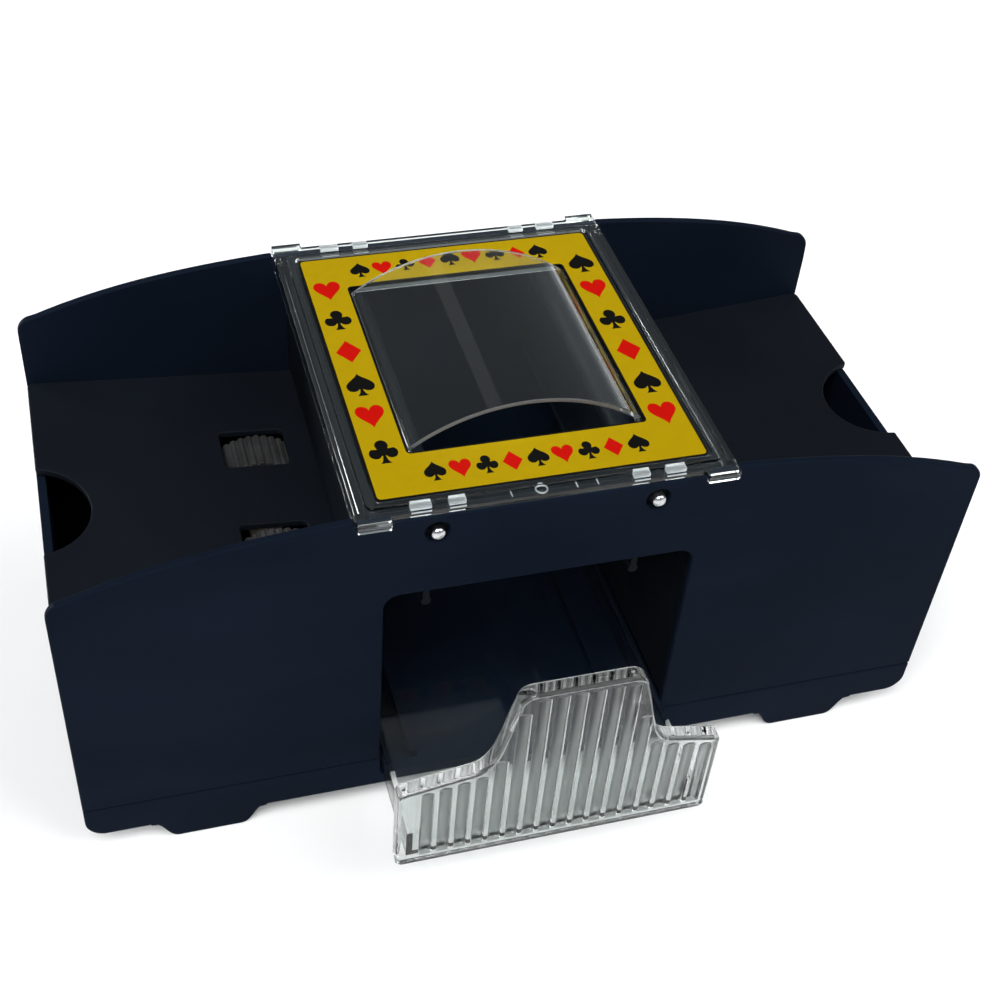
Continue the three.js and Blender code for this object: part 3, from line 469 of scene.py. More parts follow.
def turned(profile, axis, centre, steps=40):
    """A turned part: (radius, place along the axis) points, spun about the axis."""
    mesh = bmesh.new()
    corners = [mesh.verts.new((radius, 0, along)) for radius, along in profile]
    edges = [mesh.edges.new(pair) for pair in zip(corners, corners[1:])]
    bmesh.ops.spin(
        mesh, geom=corners + edges, cent=(0, 0, 0), axis=(0, 0, 1), angle=math.tau, steps=steps,
        use_merge=True,
    )
    bmesh.ops.remove_doubles(mesh, verts=mesh.verts[:], dist=SAME_POINT)
    bmesh.ops.transform(mesh, matrix=AXIS_TURNS[axis], verts=mesh.verts)
    bmesh.ops.translate(mesh, vec=PLANES[axis](centre[0], centre[1], 0), verts=mesh.verts)
    bmesh.ops.recalc_face_normals(mesh, faces=mesh.faces[:])
    return mesh


def rounded(mesh, width, steps=2, angle=35, where=None):
    """Rounds the edges sharper than angle; `where` chooses among them by the edge's middle."""
    edges = []
    for edge in mesh.edges:
        if not edge.is_manifold or edge.calc_face_angle(0) < math.radians(angle):
            continue
        middle = (edge.verts[0].co + edge.verts[1].co) / 2
        if where is None or where(middle):
            edges.append(edge)
    bmesh.ops.bevel(
        mesh, geom=edges, offset=width, offset_type="OFFSET", segments=steps, profile=0.5,
        affect="EDGES", clamp_overlap=False, material=-1,
    )
    return mesh


def soft_block(x, y, z, rounding):
    """A block with rounded edges."""
    return rounded(block(x, y, z), rounding)


def gathered(*meshes):
    """Puts several separate solids into one mesh."""
    whole = bmesh.new()
    for mesh in meshes:
        part = bpy.data.meshes.new("part")
        mesh.to_mesh(part)
        whole.from_mesh(part)
        mesh.free()
        bpy.data.meshes.remove(part)
    return whole


def stand_in(mesh):
    """A short-lived object that holds a mesh while solids are joined."""
    part = bpy.data.meshes.new("part")
    mesh.to_mesh(part)
    mesh.free()
    thing = bpy.data.objects.new("part", part)
    bpy.context.scene.collection.objects.link(thing)
    return thing


def combined(first, others, operation="UNION"):
    """Joins solids to the first one, or takes them away from it, and gives one closed mesh."""
    things = [stand_in(mesh) for mesh in (first, *others)]
    for tool in things[1:]:
        step = things[0].modifiers.new("solid", "BOOLEAN")
        step.operation = operation
        step.solver = "EXACT"
        step.object = tool
    seen = things[0].evaluated_get(bpy.context.evaluated_depsgraph_get())
    whole = bmesh.new()
    whole.from_mesh(seen.to_mesh())
    seen.to_mesh_clear()
    for thing in things:
        part = thing.data
        bpy.data.objects.remove(thing)
        bpy.data.meshes.remove(part)
    bmesh.ops.remove_doubles(whole, verts=whole.verts[:], dist=SAME_POINT)
    return whole


def mirrored(mesh):
    """The same part for the other side of the machine."""
    bmesh.ops.scale(mesh, vec=(-1, 1, 1), verts=mesh.verts)
    bmesh.ops.recalc_face_normals(mesh, faces=mesh.faces[:])
    return mesh


def on_side(mesh, side):
    """A part built for the right side, moved to the side that is asked for."""
    return mesh if side > 0 else mirrored(mesh)


def publish(mesh, name, body, finishes, replaces=(), sharp=34):
    """Makes a finished piece from a mesh in millimetres: it rides on a body and stands for frame nodes."""
    bmesh.ops.scale(mesh, vec=(MM, MM, MM), verts=mesh.verts)
    bmesh.ops.translate(mesh, vec=(0, BODY_MIDDLE, 0), verts=mesh.verts)
    data = bpy.data.meshes.new(name)
    mesh.to_mesh(data)
    mesh.free()
    data.shade_smooth()
    data.set_sharp_from_angle(angle=math.radians(sharp))
    for key in finishes:
        data.materials.append(finish(key))
    piece = bpy.data.objects.new(name, data)
    bpy.context.scene.collection.objects.link(piece)
    smooth = piece.modifiers.new("even shading", "WEIGHTED_NORMAL")
    smooth.keep_sharp = True
    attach(piece, body)
    if replaces:
        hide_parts(*replaces)
    return piece


def smoothed(node, name, body, look):
    """A finished copy of a frame node that keeps its shape, with its curved faces shaded smooth."""
    return publish(node_copy(node), name, body, [look], [node])


def node_copy(node):
    """A merged copy of a frame node's mesh, in millimetres about the middle of the body."""
    mesh = bmesh.new()
    mesh.from_mesh(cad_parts[node].data)
    bmesh.ops.remove_doubles(mesh, verts=mesh.verts[:], dist=2e-6)
    bmesh.ops.translate(mesh, vec=(0, -BODY_MIDDLE, 0), verts=mesh.verts)
    bmesh.ops.scale(mesh, vec=(1 / MM, 1 / MM, 1 / MM), verts=mesh.verts)
    return mesh


# ---- Housing -----------------------------------------------------


TRAY_INNER = (36.8, 56.4)
TRAY_SLOPE = math.tan(math.radians(4.95))
ARCH_TOP = 91.5
ARCH_FALL = (5.3, 7.6)
COVER_STEP_Z = 89.2
WALL_TIP = 4.0
OPENING_CORNER = 3.5
PIN_HOLE = 2.6
END_WALL = 1.9


def arch_z(x):
    """Height of the long walls' arched edge, which falls away faster towards the ends."""
    along = x / 100
    return ARCH_TOP - ARCH_FALL[0] * along ** 2 - ARCH_FALL[1] * along ** 4


def arch(start, end, steps=22):
    places = [start + (end - start) * i / steps for i in range(steps + 1)]
    return [(x, arch_z(x)) for x in places]


def wall_outline(has_opening):
    """A long wall from the front: upright ends, rounded tips, the arch, and a step for the cover."""
    bottom = SHELL_LOW.z
    notch = COVER_HIGH.x + 0.3
    tip_x = HALF_LENGTH - WALL_TIP
    tip_z = arch_z(tip_x) - WALL_TIP
    points = [(-HALF_LENGTH, bottom)]
    if has_opening:
        half = sizes().opening_half / MM
        top = sizes().opening_top / MM
        corner_x, corner_z = half - OPENING_CORNER, top - OPENING_CORNER
        points += [(-half, bottom)]
        points += arc((-corner_x, corner_z), OPENING_CORNER, 180, 90, 8)
        points += arc((corner_x, corner_z), OPENING_CORNER, 90, 0, 8)
        points += [(half, bottom)]
    points += [(HALF_LENGTH, bottom)]
    points += arc((tip_x, tip_z), WALL_TIP, 0, 66, 8)
    points += arch(tip_x - 0.5, notch)
    points += [(notch, COVER_STEP_Z), (-notch, COVER_STEP_Z)]
    points += arch(-notch, -tip_x + 0.5)
    points += arc((-tip_x, tip_z), WALL_TIP, 114, 180, 8)
    return points


def long_wall(side):
    """The front (side -1) or back (side 1) wall, with its outer edges and its free inner edges rounded."""
    low, high = span(side, HALF_WIDTH - sizes().wall / MM, HALF_WIDTH)
    holes = [circle((end * PIN_X, PIN_Z), PIN_HOLE, 28) for end in (-1, 1)]
    if side > 0:
        holes.append(circle(BUTTON_CENTRE, BUTTON["hole"], 40))
    wall = plate([wall_outline(side < 0), *holes], "Y", low, high)
    trays_end = tray_top(HALF_LENGTH) + 1
    opening_half = sizes().opening_half / MM + 2
    opening_top = sizes().opening_top / MM + 2

    def is_open_edge(middle):
        on_outer_face = abs(middle.y - side * HALF_WIDTH) < 0.01
        above_tray = middle.z > trays_end
        at_opening = abs(middle.x) < opening_half and middle.z < opening_top
        return on_outer_face or above_tray or at_opening

    return rounded(wall, sizes().wall_rounding / MM, 3, where=is_open_edge)


def end_wall(side):
    """An end wall, which stops just under the tray and reaches a little way into the long walls."""
    x = span(side, HALF_LENGTH - END_WALL, HALF_LENGTH)
    reach = HALF_WIDTH - sizes().wall / MM + 0.5
    return block(x, (-reach, reach), (SHELL_LOW.z, tray_top(HALF_LENGTH) - 2.4))


def tray_top(x):
    """Height of a tray's upper face at a distance from the middle."""
    return TRAY_INNER[1] + (x - TRAY_INNER[0]) * TRAY_SLOPE


def screw_post(side_x, side_y):
    """A round boss with two webs that takes a screw from below."""
    x, y = side_x * SCREW_X, side_y * SCREW_Y
    height = (SHELL_LOW.z, SCREW_HIGH.z + 3)
    half_web = 0.8
    ring = plate([circle((x, y), 3.6, 24), circle((x, y), 1.65, 16)], "Z", *height)
    web_x = block(span(side_x, SCREW_X + 2, HALF_LENGTH - 1), (y - half_web, y + half_web), height)
    web_y = block((x - half_web, x + half_web), span(side_y, SCREW_Y + 2, HALF_WIDTH - 1), height)
    return [ring, web_x, web_y]


def tray_ledge(side_x, side_y):
    """A sloping ledge on a long wall that a tray's edge lies on."""
    inner, outer = 38.8, HALF_LENGTH - END_WALL
    drop, thick = 2.1, 2.0
    points = [(side_x * x, tray_top(x) - drop) for x in (inner, outer)]
    points += [(side_x * x, tray_top(x) - drop - thick) for x in (outer, inner)]
    return plate([points], "Y", *span(side_y, 43.4, 45.5))


class SHUFFLER_OT_housing(bpy.types.Operator):
    """Build the housing: two long arched walls, two end walls, the screw posts and the tray ledges"""

    bl_idname = "shuffler.housing"
    bl_label = "Housing"

    def execute(self, context):
        parts = [long_wall(1), end_wall(-1), end_wall(1)]
        for side_x in (-1, 1):
            for side_y in (-1, 1):
                parts += screw_post(side_x, side_y)
                parts.append(tray_ledge(side_x, side_y))
        shell = combined(long_wall(-1), parts)
        publish(shell, "housing_walls", "housing", ["body"], ["housing_shell"])
        return {"FINISHED"}


FOOT_RISE = 5.5
FOOT = {"inner": 60, "outer": 86, "half_flat": 7, "ease": 3}
PAN_FLOOR_TOP = FOOT_RISE + 2
SILL_Z = 8.9
GUIDE_TOP = 10.3


def foot_outline(side):
    """A foot from the front: a smooth bump that ends in a flat."""
    inner, outer, ease = FOOT["inner"], FOOT["outer"], FOOT["ease"]
    flat_start = (inner + outer) / 2 - FOOT["half_flat"]
    flat_end = (inner + outer) / 2 + FOOT["half_flat"]
    z = FOOT_RISE
    points = [(inner, z + 0.5), (inner, z)]
    points += bezier((inner, z), (inner + ease, z), (inner + ease, 0), (flat_start, 0), 10)
    points += [(flat_end, 0)]
    points += bezier((flat_end, 0), (outer - ease, 0), (outer - ease, z), (outer, z), 10)
    points += [(outer, z + 0.5)]
    return [(side * x, height) for x, height in points]


def pan_outline(half, bottom, top, radius):
    """The pan from the front: a low box with rounded lower corners."""
    points = [(half, top), (-half, top)]
    points += arc((-half + radius, bottom + radius), radius, 180, 270, 10)
    points += arc((half - radius, bottom + radius), radius, 270, 360, 10)
    return points


def pan_shell():
    """The hollow pan, with a sill cut down for the drawer."""
    half_opening = sizes().opening_half / MM
    outer = plate([pan_outline(HALF_LENGTH, FOOT_RISE, SEAM_Z, 4.5)], "Y", -HALF_WIDTH, HALF_WIDTH)
    inside = plate([pan_outline(HALF_LENGTH - 2.6, PAN_FLOOR_TOP, SEAM_Z + 1, 2)], "Y", -45, 45)
    sill = block((-half_opening, half_opening), (-HALF_WIDTH - 1, -44), (SILL_Z, SEAM_Z + 1))
    return combined(rounded(outer, sizes().pan_rounding / MM, 3), [inside, sill], "DIFFERENCE")


def battery_hatch(side):
    """The hole in the pan's floor for a battery door."""
    gap = 0.3
    centre = ((DOOR_LOW.x + DOOR_HIGH.x) / 2 * side, (DOOR_LOW.y + DOOR_HIGH.y) / 2)
    half_u = (DOOR_HIGH.x - DOOR_LOW.x) / 2 + gap
    half_v = (DOOR_HIGH.y - DOOR_LOW.y) / 2 + gap
    outline = rounded_rectangle(half_u, half_v, 1, centre)
    return plate([outline], "Z", FOOT_RISE - 1, PAN_FLOOR_TOP + 1)


class SHUFFLER_OT_base_pan(bpy.types.Operator):
    """Build the base pan with its feet, screw recesses, battery hatches and drawer runners"""

    bl_idname = "shuffler.base_pan"
    bl_label = "Base pan"

    def execute(self, context):
        rounding = sizes().pan_rounding / MM
        below = FOOT_RISE - 1
        root = PAN_FLOOR_TOP - 0.5
        parts = []
        cuts = []
        for side_x in (-1, 1):
            parts.append(block(span(side_x, 24, 26), (-43, 43), (root, GUIDE_TOP)))
            parts.append(block(span(side_x, 33.8, 35.4), (-43, 45), (root, SEAM_Z)))
            for side_y in (-1, 1):
                screw = (side_x * SCREW_X, side_y * SCREW_Y)
                foot = plate([foot_outline(side_x)], "Y", *span(side_y, HALF_WIDTH - 10, HALF_WIDTH))
                parts.append(rounded(foot, rounding, 3, 50, lambda middle: middle.z < FOOT_RISE - 0.2))
                parts.append(rod("Z", screw, 4.4, FOOT_RISE + 0.5, SEAM_Z, 24))
                cuts.append(rod("Z", screw, 1.7, below, SEAM_Z + 1, 16))
                cuts.append(rod("Z", screw, 3.3, below, FOOT_RISE + 2.4, 28))
            cuts.append(battery_hatch(side_x))
        shell = combined(combined(pan_shell(), parts), cuts, "DIFFERENCE")
        publish(shell, "base", "housing", ["body"], ["base_pan"])
        return {"FINISHED"}


# ---- Trays and chamber -------------------------------------------


def card_tray():
    """The right tray: a floor that slopes down to the rollers, with their slots and a thumb notch."""
    inner, outer = TRAY_LOW.x, TRAY_HIGH.x
    half, corner = TRAY_HIGH.y, 1.5
    notch_radius = 14
    notch_centre = HALF_LENGTH + 3
    reach = math.degrees(math.acos((notch_centre - outer) / notch_radius))
    notch_half = notch_radius * math.sin(math.radians(reach)) + 1
    outline = [(inner, -half)] + arc((outer - corner, -half + corner), corner, -90, 0, 5)
    outline += [(outer, -notch_half)]
    outline += arc((notch_centre, 0), notch_radius, 180 + reach, 180 - reach, 24)
    outline += [(outer, notch_half)]
    outline += arc((outer - corner, half - corner), corner, 0, 90, 5) + [(inner, half)]
    slots = [rounded_rectangle(7.5, TYRE_HALF + 1.2, 1.2, (ROLLER_X, end * TYRE_Y)) for end in (-1, 1)]
    sheet = rounded(plate([outline, *slots], "Z", -1.8, 0), sizes().tray_rounding / MM, 3)
    lean = Matrix.Identity(4)
    lean[2][0] = TRAY_SLOPE
    lean[2][3] = tray_top(0)
    bmesh.ops.transform(sheet, matrix=lean, verts=sheet.verts)
    skirt = block((inner, inner + 1.8), (-half, half), (SEAM_Z + 1, tray_top(inner) - 0.7))
    return combined(sheet, [skirt])


class SHUFFLER_OT_trays(bpy.types.Operator):
    """Build the two sloping card trays with their roller slots and thumb notches"""

    bl_idname = "shuffler.trays"
    bl_label = "Card trays"

    def execute(self, context):
        for name, side in SIDES:
            tray = on_side(card_tray(), side)
            publish(tray, f"{name}_card_tray", "housing", ["inner"], [f"{name}_tray"])
        return {"FINISHED"}


class SHUFFLER_OT_chamber(bpy.types.Operator):
    """Build the frame under the cover: two stop walls tied together front and back"""

    bl_idname = "shuffler.chamber"
    bl_label = "Chamber frame"

    def execute(self, context):
        top, outer_y = CHAMBER_HIGH.z, CHAMBER_HIGH.y
        reach = HALF_WIDTH - sizes().wall / MM - 0.05
        across = (-36.4, 36.4)
        parts = []
        for side in (-1, 1):
            parts.append(soft_block(span(side, 35.4, 37.2), (-reach, reach), (CHAMBER_LOW.z, top), 0.35))
            parts.append(soft_block(across, span(side, outer_y - 1.8, outer_y), (79.5, top), 0.35))
            parts.append(soft_block(across, span(side, outer_y - 9, outer_y), (top - 1, top), 0.25))
        bores = [rod("Y", (side * PIN_X, PIN_Z), 1.65, -47, 47, 24) for side in (-1, 1)]
        whole = combined(combined(parts[0], parts[1:]), bores, "DIFFERENCE")
        publish(whole, "chamber_walls", "housing", ["inner"], ["chamber_frame"])
        return {"FINISHED"}


class SHUFFLER_OT_gates(bpy.types.Operator):
    """Build the two steel gate pins with domed ends, and the card gates that hang from them"""

    bl_idname = "shuffler.gates"
    bl_label = "Card gates"

    def execute(self, context):
        low, high = PIN_LOW.y, PIN_HIGH.y
        dome = [(u * PIN_RADIUS, v) for u, v in arc((0, low + 1), 1, 280, 360, 6)]
        chamfer = 0.4
        profile = [(0, low), *dome, (PIN_RADIUS, high - chamfer), (PIN_RADIUS - chamfer, high), (0, high)]
        half, half_leaf = GATE_HALF, 0.7
        lip_z = PIN_Z - 26
        for name, side in SIDES:
            x = side * PIN_X
            pin = turned(profile, "Y", (x, PIN_Z), 28)
            publish(pin, f"{name}_pin", "housing", ["steel"], [f"{name}_gate_pin"])
            sleeve = plate([circle((x, PIN_Z), 3.1, 36), circle((x, PIN_Z), 1.6, 24)], "Y", -half, half)
            leaf = block((x - half_leaf, x + half_leaf), (-half, half), (lip_z, PIN_Z - 2))
            lip = rod("Y", (x, lip_z), 1.1, -half, half, 20)
            gate = combined(rounded(sleeve, 0.25), [leaf, lip])
            publish(gate, f"{name}_flap", f"{name}_gate", ["inner"], [f"{name}_card_gate"])
        return {"FINISHED"}


# ---- Clear cover -------------------------------------------------

VAULT = {"half": 25.4, "rise": 8.6, "front": -28.3, "back": 26.5, "wall": 1.1}
LABEL_MIDDLE = (0, -1.2)
WINDOW = {"middle": (0, -1.0), "half_x": 25.5, "half_y": 29.0}
COVER_TOP = 91.0
PLATE = 1.6
SHEET_HALF_Y = 46.8
HOOK = {"width": 7, "tongue": 2.6, "tab": 1.4}
CLIPS = ((17.5, 21.0), (24.5, 28.8))
MARK = {"x": -2, "y": -45.4, "radius": 1.35, "line": 0.3}


def vault_shell():
    """The arched window: a thin half-pipe whose axis runs front to back, with smooth ends."""
    half, rise, wall = VAULT["half"], VAULT["rise"], VAULT["wall"]
    bottom = COVER_TOP - PLATE
    radius = (half * half + rise * rise) / (2 * rise)
    centre = (0, COVER_TOP + rise - radius)
    reach = math.degrees(math.asin(half / radius))
    points = [(half, bottom)]
    points += arc(centre, radius, 90 - reach, 90 + reach, 36)
    points += [(-half, bottom), (-half + wall, bottom)]
    points += arc(centre, radius - wall, 90 + reach - 1.2, 90 - reach + 1.2, 36)
    points += [(half - wall, bottom)]
    return rounded(plate([points], "Y", VAULT["front"], VAULT["back"]), 0.3, 2, 60)


def cover_hook(side_x, side_y):
    """A corner hook: a tongue over the wall and a tab that hangs outside it."""
    reach = COVER_HIGH.y
    x = span(side_x, COVER_HIGH.x - HOOK["width"], COVER_HIGH.x)
    tongue = span(side_y, reach - HOOK["tongue"], reach)
    tab = span(side_y, reach - HOOK["tab"], reach)
    return [
        soft_block(x, tongue, (COVER_TOP - PLATE, COVER_TOP - 0.1), 0.25),
        soft_block(x, tab, (COVER_TOP - 2.5, COVER_TOP - 0.4), 0.45),
    ]


def cover_clips(side_x, side_y):
    """Two little upright blocks on the border that hold the cover's edge down."""
    y = span(side_y, 44.2, 45.9)
    z = (COVER_TOP - 1, COVER_TOP + 0.55)
    return [soft_block(span(side_x, near, far), y, z, 0.2) for near, far in CLIPS]


def mould_marks():
    """The mould's round mark in the middle of the front border, and three fine raised lines beside it."""
    centre, radius = (MARK["x"], MARK["y"]), MARK["radius"]
    bottom, thin = COVER_TOP - 0.1, 0.22
    ring = [circle(centre, radius, 28), circle(centre, radius - MARK["line"], 28)]
    marks = [plate(ring, "Z", bottom, COVER_TOP + 0.12)]
    y = (MARK["y"] - 1, MARK["y"] + 0.5)
    return marks + [block((x, x + thin), y, (bottom, COVER_TOP + 0.1)) for x in (-8.4, 5.2, 9.6)]


def is_vault_end(face):
    """Whether a face is one of the arched window's cut ends."""
    middle = face.calc_center_median()
    at_end = min(abs(middle.y - VAULT["front"]), abs(middle.y - VAULT["back"])) < 0.4
    return at_end and middle.z > COVER_TOP and abs(face.normal.y) > 0.5


class SHUFFLER_OT_clear_cover(bpy.types.Operator):
    """Build the clear cover: its plate, side skirts, border rim, arched window, clips and corner hooks"""

    bl_idname = "shuffler.clear_cover"
    bl_label = "Clear cover"

    def execute(self, context):
        rounding = sizes().cover_rounding / MM
        half_x = COVER_HIGH.x
        outline = rounded_rectangle(half_x, SHEET_HALF_Y, 1.5)
        window = rounded_rectangle(VAULT["half"] - 0.4, WINDOW["half_y"] - 0.3, 1, WINDOW["middle"])
        sheet = rounded(plate([outline, window], "Z", COVER_TOP - PLATE, COVER_TOP), rounding)
        rim_outer = rounded_rectangle(LABEL_HIGH.x + 2.4, LABEL_HIGH.y + 2.0, 1.6, LABEL_MIDDLE)
        rim_inner = rounded_rectangle(LABEL_HIGH.x + 0.6, LABEL_HIGH.y + 0.6, 1.2, LABEL_MIDDLE)
        parts = [rounded(plate([rim_outer, rim_inner], "Z", COVER_TOP - 0.4, COVER_TOP + 0.9), 0.25)]
        parts.append(vault_shell())
        clips = mould_marks()
        for side_x in (-1, 1):
            x = span(side_x, half_x - 1.5, half_x)
            parts.append(soft_block(x, (-44.2, 44.2), (COVER_TOP - 4.6, COVER_TOP - 0.2), rounding))
            for side_y in (-1, 1):
                parts += cover_hook(side_x, side_y)
                clips += cover_clips(side_x, side_y)
        whole = combined(sheet, parts)
        for part in whole.faces:
            part.material_index = int(is_vault_end(part))
        publish(whole, "cover", "cover", ["clear", "cut_edge"], ["clear_cover"])
        publish(gathered(*clips), "cover_clips", "cover", ["frosted"])
        return {"FINISHED"}


# ---- Label -------------------------------------------------------


def heart(size):
    right = [(0, -0.52)]
    right += bezier((0, -0.52), (0.14, -0.22), (0.5, -0.05), (0.5, 0.2), 8)
    right += bezier((0.5, 0.2), (0.5, 0.52), (0.1, 0.56), (0, 0.26), 8)
    return symmetric(right, size)


def diamond(size):
    return symmetric([(0, -0.54), (0.46, 0), (0, 0.54)], size)


def spade(size):
    right = [(0, -0.5), (0.2, -0.5)]
    right += bezier((0.2, -0.5), (0.1, -0.42), (0.06, -0.32), (0.05, -0.18), 4)
    right += bezier((0.05, -0.18), (0.2, -0.36), (0.5, -0.3), (0.5, -0.04), 6)
    right += bezier((0.5, -0.04), (0.5, 0.18), (0.14, 0.3), (0, 0.54), 6)
    return symmetric(right, size)


def club(size):
    right = [(0, -0.5), (0.19, -0.5)]
    right += bezier((0.19, -0.5), (0.1, -0.42), (0.06, -0.32), (0.05, -0.16), 4)
    right += arc((0.27, -0.06), 0.225, 210, 420, 10)
    right += arc((0, 0.27), 0.225, -42, 90, 8)
    return symmetric(right, size)


def symmetric(right, size):
    """A sign's whole outline from its right half, whose ends lie on the middle line."""
    right = [(u * size, v * size) for u, v in right]
    left = [(-u, v) for u, v in reversed(right) if abs(u) > 1e-6]
    return right + left


PIP_HEIGHT = 1.17
COLUMN_X = (-30.4, 30.3)
ROW_Y = (-36.5, 34.3)
ROW_STEP = 5.4
ROW_PIP = 4.6
OUTLINE = 0.4
RED, BLACK = 1, 2
SIGNS = {"heart": (heart, RED), "diamond": (diamond, RED), "spade": (spade, BLACK), "club": (club, BLACK)}
LEFT_COLUMN = (
    ("heart", 27.7), ("club", 16.4), ("diamond", 4.8), ("spade", -7.0), ("heart", -17.3), ("club", -28.7),
)
RIGHT_COLUMN = (
    ("spade", 27.6), ("heart", 17.3), ("club", 5.2), ("diamond", -6.2), ("spade", -17.9), ("heart", -28.3),
)
ROW = ("spade", "heart", "club", "diamond", "spade", "heart", "club", "diamond", "spade")


def printed_signs():
    """Every suit sign on the label: its outline and the ink it is printed in."""
    pip = sizes().pip / MM
    placed = [(sign, COLUMN_X[0], y, pip) for sign, y in LEFT_COLUMN]
    placed += [(sign, COLUMN_X[1], y, pip) for sign, y in RIGHT_COLUMN]
    for y in ROW_Y:
        placed += [(sign, (i - len(ROW) // 2) * ROW_STEP, y, ROW_PIP) for i, sign in enumerate(ROW)]
    signs = []
    for sign, x, y, size in placed:
        outline, ink = SIGNS[sign]
        signs.append(([(x + u, y + v * PIP_HEIGHT) for u, v in outline(size)], ink))
    return signs


def inked_area(mesh, points, level, ink):
    """A flat area inside a loop of points."""
    face = mesh.faces.new([mesh.verts.new((u, v, level)) for u, v in points])
    face.material_index = ink


def inked_band(mesh, outer, inner, level, ink):
    """A closed band between two loops of the same number of points."""
    edges = add_loop(mesh, outer, "Z", level) + add_loop(mesh, inner, "Z", level)
    made = bmesh.ops.bridge_loops(mesh, edges=edges)
    for face in made["faces"]:
        face.material_index = ink


class SHUFFLER_OT_label(bpy.types.Operator):
    """Build the printed label: one thin film whose ground, outlines and suit signs are flush areas of ink"""

    bl_idname = "shuffler.label"
    bl_label = "Label"

    def execute(self, context):
        level = LABEL_LOW.z
        half_x, half_y = LABEL_HIGH.x, LABEL_HIGH.y
        window_x, window_y = WINDOW["half_x"], WINDOW["half_y"]
        edge = rounded_rectangle(half_x, half_y, 1.2, LABEL_MIDDLE)
        ground_edge = rounded_rectangle(half_x - OUTLINE, half_y - OUTLINE, 0.9, LABEL_MIDDLE)
        ground_window = rounded_rectangle(window_x + OUTLINE, window_y + OUTLINE, 1.1, WINDOW["middle"])
        window = rounded_rectangle(window_x, window_y, 0.8, WINDOW["middle"])
        signs = printed_signs()
        mesh = bmesh.new()
        inked_band(mesh, edge, ground_edge, level, BLACK)
        inked_band(mesh, ground_window, window, level, BLACK)
        for outline, ink in signs:
            inked_area(mesh, outline, level, ink)
        ground = add_loop(mesh, ground_edge, "Z", level) + add_loop(mesh, ground_window, "Z", level)
        for outline, _ in signs:
            ground += add_loop(mesh, outline, "Z", level)
        bmesh.ops.triangle_fill(mesh, use_beauty=True, use_dissolve=False, edges=ground)
        bmesh.ops.remove_doubles(mesh, verts=mesh.verts[:], dist=1e-3)
        thicken(mesh, "Z", LABEL_HIGH.z - level)
        inks = ["label", "red_ink", "black_ink"]
        publish(mesh, "printed_label", "cover", inks, ["label"])
        return {"FINISHED"}


# ---- Drawer ------------------------------------------------------

FLUTES = {"count": 17, "low": -31.6, "high": 34.5, "ridge": 1.15, "flare": 0.45}
FRONT = {"half": 36.0, "bottom": 9.3, "low": 34.8, "shoulder": 38.4, "tab": 60.0, "thick": 4.0}
TAB = {"centre": 2.4, "half": 13.4, "flare": 22.0, "corner": 3.5}
DRAWER_TRAY = {"half": 33.4, "wall": 1.4, "bottom": 10.6, "depth": 8.0}
RIM = 1.6
SOLE = 3.2


def drawer_front_outline():
    """Low rims, S-shaped shoulders and a finger tab a little right of the middle."""
    half, bottom, low = FRONT["half"], FRONT["bottom"], FRONT["low"]
    shoulder, tab = FRONT["shoulder"], FRONT["tab"]
    flare, tab_half, corner = TAB["flare"], TAB["half"], TAB["corner"]
    foot = (flare, shoulder - 1)
    crest = (tab_half + 0.5, tab - corner)
    shoulders = [foot, *bezier(foot, (flare - 5, shoulder), (flare - 5.5, tab - 12), crest, 16)]
    shoulders += arc((tab_half - 3, tab - corner), corner, 8, 90, 8)
    ease = 1.5
    points = [(half - 1, bottom), (half, bottom + 1)]
    points += arc((half - ease, low - ease), ease, 0, 90, 5)
    points += [(TAB["centre"] + u, v) for u, v in shoulders]
    points += [(TAB["centre"] - u, v) for u, v in reversed(shoulders)]
    points += arc((-half + ease, low - ease), ease, 90, 180, 5)
    return points + [(-half, bottom + 1), (-half + 1, bottom)]


def rim_height(x):
    """Height of the drawer front's rim at x."""
    outline = drawer_front_outline()
    heights = [FRONT["low"] - 1.5]
    for (u0, v0), (u1, v1) in zip(outline, outline[1:]):
        if u1 < u0 and u1 <= x <= u0:
            heights.append(v0 + (v1 - v0) * (u0 - x) / (u0 - u1))
    return max(heights)


def flutes():
    """The hollow flutes of the drawer front: (x, centre y, radius, bottom, top) of each round groove."""
    pitch = (FLUTES["high"] - FLUTES["low"]) / FLUTES["count"]
    half = (pitch - FLUTES["ridge"]) / 2
    depth = sizes().flute_depth / MM
    radius = (half * half + depth * depth) / (2 * depth)
    rows = []
    for i in range(FLUTES["count"]):
        x = FLUTES["low"] + (i + 0.5) * pitch
        top = min(rim_height(x - half), rim_height(x + half)) - RIM
        rows.append((x, DRAWER_LOW.y + depth - radius, radius, FRONT["bottom"] + SOLE, top))
    return rows


def flute_cutter(x, y, radius, low, high):
    """A round groove whose mouth flares into the ridges beside it, as a solid to take away."""
    front, flare = DRAWER_LOW.y, FLUTES["flare"]
    across = math.sqrt((radius + flare) ** 2 - (front + flare - y) ** 2)
    lean = math.degrees(math.atan2(front + flare - y, across))
    points = [(x + across + 0.02, front - 1)]
    points += arc((x + across, front + flare), flare, 262, 180 + lean, 5)
    points += arc((x, y), radius, lean, 180 - lean, 18)[1:]
    points += arc((x - across, front + flare), flare, -lean, -82, 5)[1:]
    points += [(x - across - 0.02, front - 1)]
    return plate([points], "Z", low, high)


def is_in_flute(face):
    """Whether a face is part of a flute's round bottom, which takes the finish darkened as painted shade."""
    middle = face.calc_center_median()
    if middle.y < DRAWER_LOW.y + 0.05:
        return False
    return any(math.hypot(middle.x - x, middle.y - y) < radius + 0.02 for x, y, radius, _, _ in flutes())


